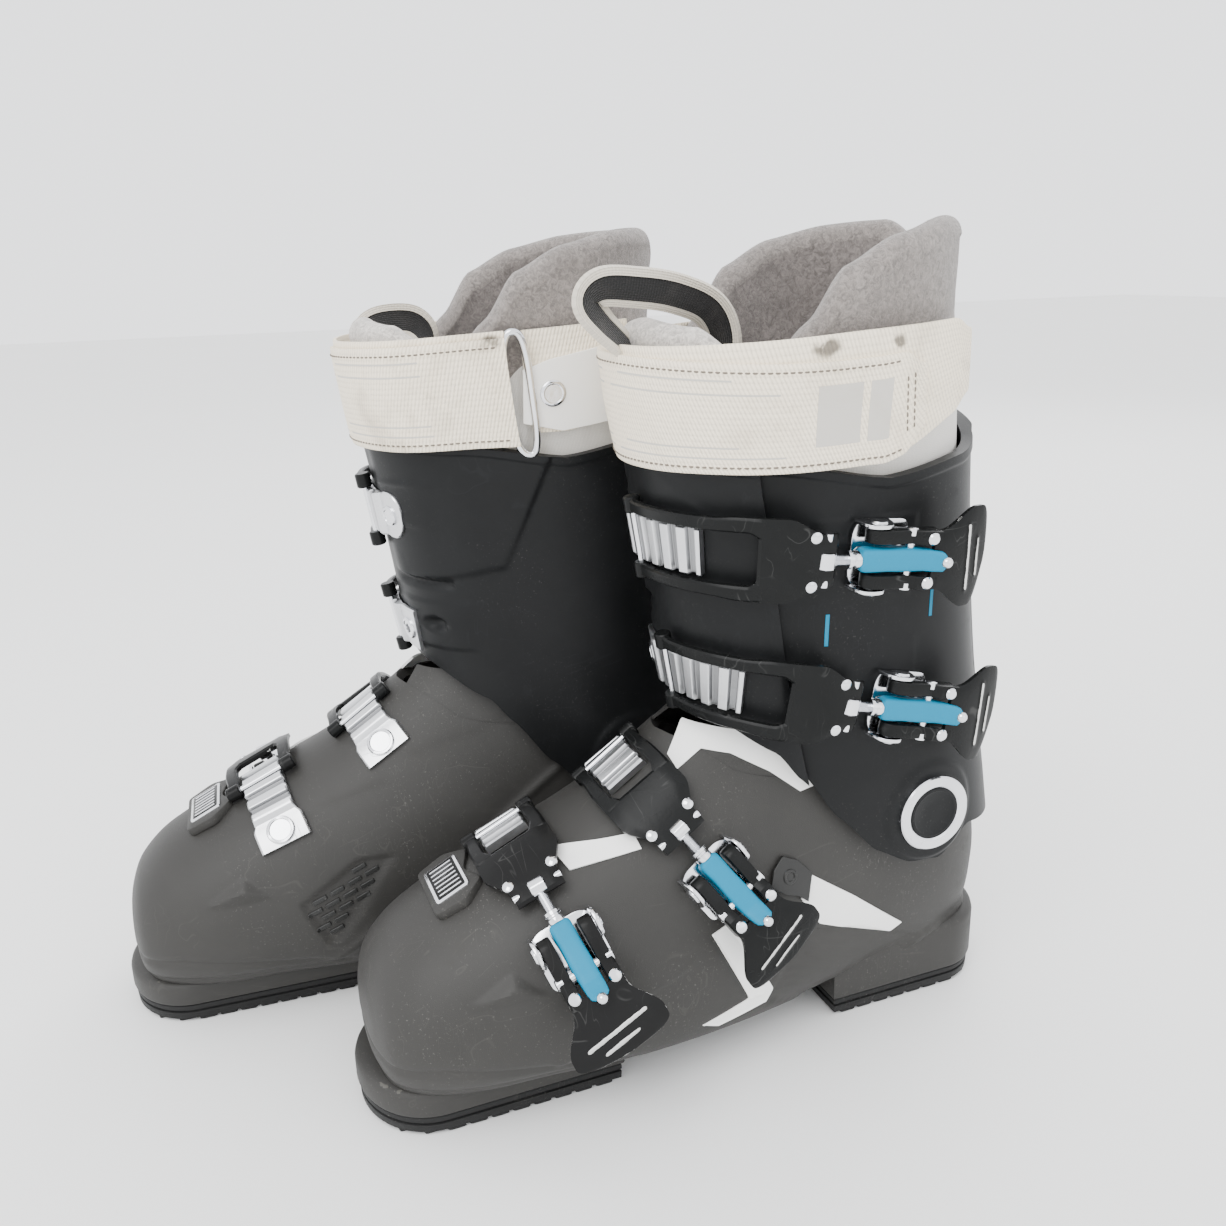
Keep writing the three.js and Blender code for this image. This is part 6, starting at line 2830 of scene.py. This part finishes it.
@dataclass
class Boot:
    """One boot of the pair."""

    side: Side

    def build(self) -> list[bpy.types.Object]:
        """Builds every sub-assembly.

        Returns:
            The boot's objects.
        """
        standing = Standing(self.side)
        made = [LowerShell(standing).build()]
        made.append(Sole(standing, "toe_sole", TOE_LUG, False).build())
        made.append(Sole(standing, "heel_sole", HEEL_LUG, True).build())
        made += Inserts(standing).build()
        made.append(ToeBadge(standing).build())
        made.append(Cuff(standing).build())
        made.append(CuffMarks(standing).build())
        made += [Pivot(standing, True).build(), Pivot(standing, False).build()]
        made += [LinerFoot(standing).build(), LinerShaft(standing).build(), Tongue(standing).build()]
        made += PullLoop(standing).build()
        made += PowerStrap(standing).build()
        made += Buckle(standing, "toe", False, 6.0, 50, 62, 1, 2, Lock.PLATE, battered=True).build()
        made += Buckle(standing, "instep", False, 8.1, 47, 68, 2, 1, Lock.PLATE).build()
        made += Buckle(standing, "ankle", True, 3.6, 81, 93, 4, 1, Lock.SCREW).build()
        made += Buckle(standing, "calf", True, 6.0, 77, 97, 4, 1, Lock.ROUND).build()
        return made


@dataclass
class Studio:
    """Camera, lights and floor."""

    azimuth: float = 70.43
    elevation: float = 17.38
    distance: float = 0.54269
    look: tuple[float, float, float] = (-0.02706, 0.04377, 0.16792)
    roll: float = -1.55
    lens: float = 33.245

    def camera(self) -> None:
        """Places the camera and makes it the scene's."""
        az, el, roll = (math.radians(k) for k in (self.azimuth, self.elevation, self.roll))
        back = Vector((math.sin(az) * math.cos(el), -math.cos(az) * math.cos(el), math.sin(el)))
        right = (-back).cross(Vector((0, 0, 1))).normalized()
        up = right.cross(-back)
        r2 = right * math.cos(roll) + up * math.sin(roll)
        u2 = up * math.cos(roll) - right * math.sin(roll)
        data = bpy.data.cameras.new("camera")
        data.lens, data.sensor_width, data.clip_start = self.lens, 36, 0.01
        camera = bpy.data.objects.new("camera", data)
        m = Matrix((r2, u2, back)).transposed().to_4x4()
        m.translation = Vector(self.look) + back * self.distance
        camera.matrix_world = m
        bpy.context.scene.collection.objects.link(camera)
        bpy.context.scene.camera = camera

    def light(
        self,
        name: str,
        at: tuple[float, float, float],
        size: float,
        power: float,
        to: tuple[float, float, float] = (0, 0, 0.15)
    ) -> None:
        """A square soft light that faces a point.

        Args:
            name: the light's name.
            at: where it hangs, metres.
            size: its side, metres.
            power: its power, watts.
            to: the point it faces, metres.
        """
        data = bpy.data.lights.new(name, "AREA")
        data.shape, data.size, data.energy = "SQUARE", size, power
        lamp = bpy.data.objects.new(name, data)
        lamp.location = at
        lamp.rotation_euler = (Vector(at) - Vector(to)).to_track_quat("Z", "Y").to_euler()
        bpy.context.scene.collection.objects.link(lamp)

    def build(self) -> None:
        """Sets the camera, a flat pale floor and soft lights."""
        self.camera()
        floor = bpy.data.meshes.new("floor")
        x = np.linspace(-6, 6, 5)
        grid = np.stack(np.meshgrid(x, x), -1).reshape(-1, 2)
        co = np.column_stack([grid, np.full(25, -0.0004)])
        i = np.arange(25).reshape(5, 5)
        quads = np.stack([i[:-1, :-1], i[:-1, 1:], i[1:, 1:], i[1:, :-1]], -1).reshape(-1, 4)
        floor.from_pydata(co.tolist(), [], quads.tolist())
        floor.materials.append(FLOOR.material)
        ground = bpy.data.objects.new("floor", floor)
        bpy.context.scene.collection.objects.link(ground)
        world = bpy.data.worlds.new("studio")
        world.use_nodes = True
        world.node_tree.nodes["Background"].inputs[0].default_value = (0.93, 0.94, 0.96, 1)
        world.node_tree.nodes["Background"].inputs[1].default_value = 2.4
        bpy.context.scene.world = world
        self.light("key", (0.9, -0.9, 1.5), 1.1, 26)
        self.light("side", (1.6, 0.7, 0.9), 1.2, 3)
        self.light("back", (-1.2, 1.2, 1.4), 1.2, 14)


@dataclass(frozen=True)
class Floor(Finish):
    """A pale, almost plain painted surface."""

    def draw(self, g: Graph) -> None:
        """Faint cloudiness on object coordinates.

        Args:
            g: the material's graph.
        """
        place = g.node("ShaderNodeTexCoord").outputs["Object"]
        cloud = g.noise(place, 3.0, 4, 0.6)
        base = g.mix(cloud, tuple(c * 0.97 for c in self.colour), self.colour)
        self.shader(g, {"Base Color": base, "Roughness": 0.75})


FLOOR = Floor("floor paint", (0.88, 0.88, 0.87))


def main() -> None:
    """Builds the setting and both boots, and reports each piece."""
    logging.basicConfig(level=logging.INFO, format="%(name)s: %(message)s")
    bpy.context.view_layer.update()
    Studio().build()
    for side in Side:
        made = Boot(side).build()
        LOG.info("%s boot: %d objects", side.value, len(made))


if __name__ == "__main__":
    main()
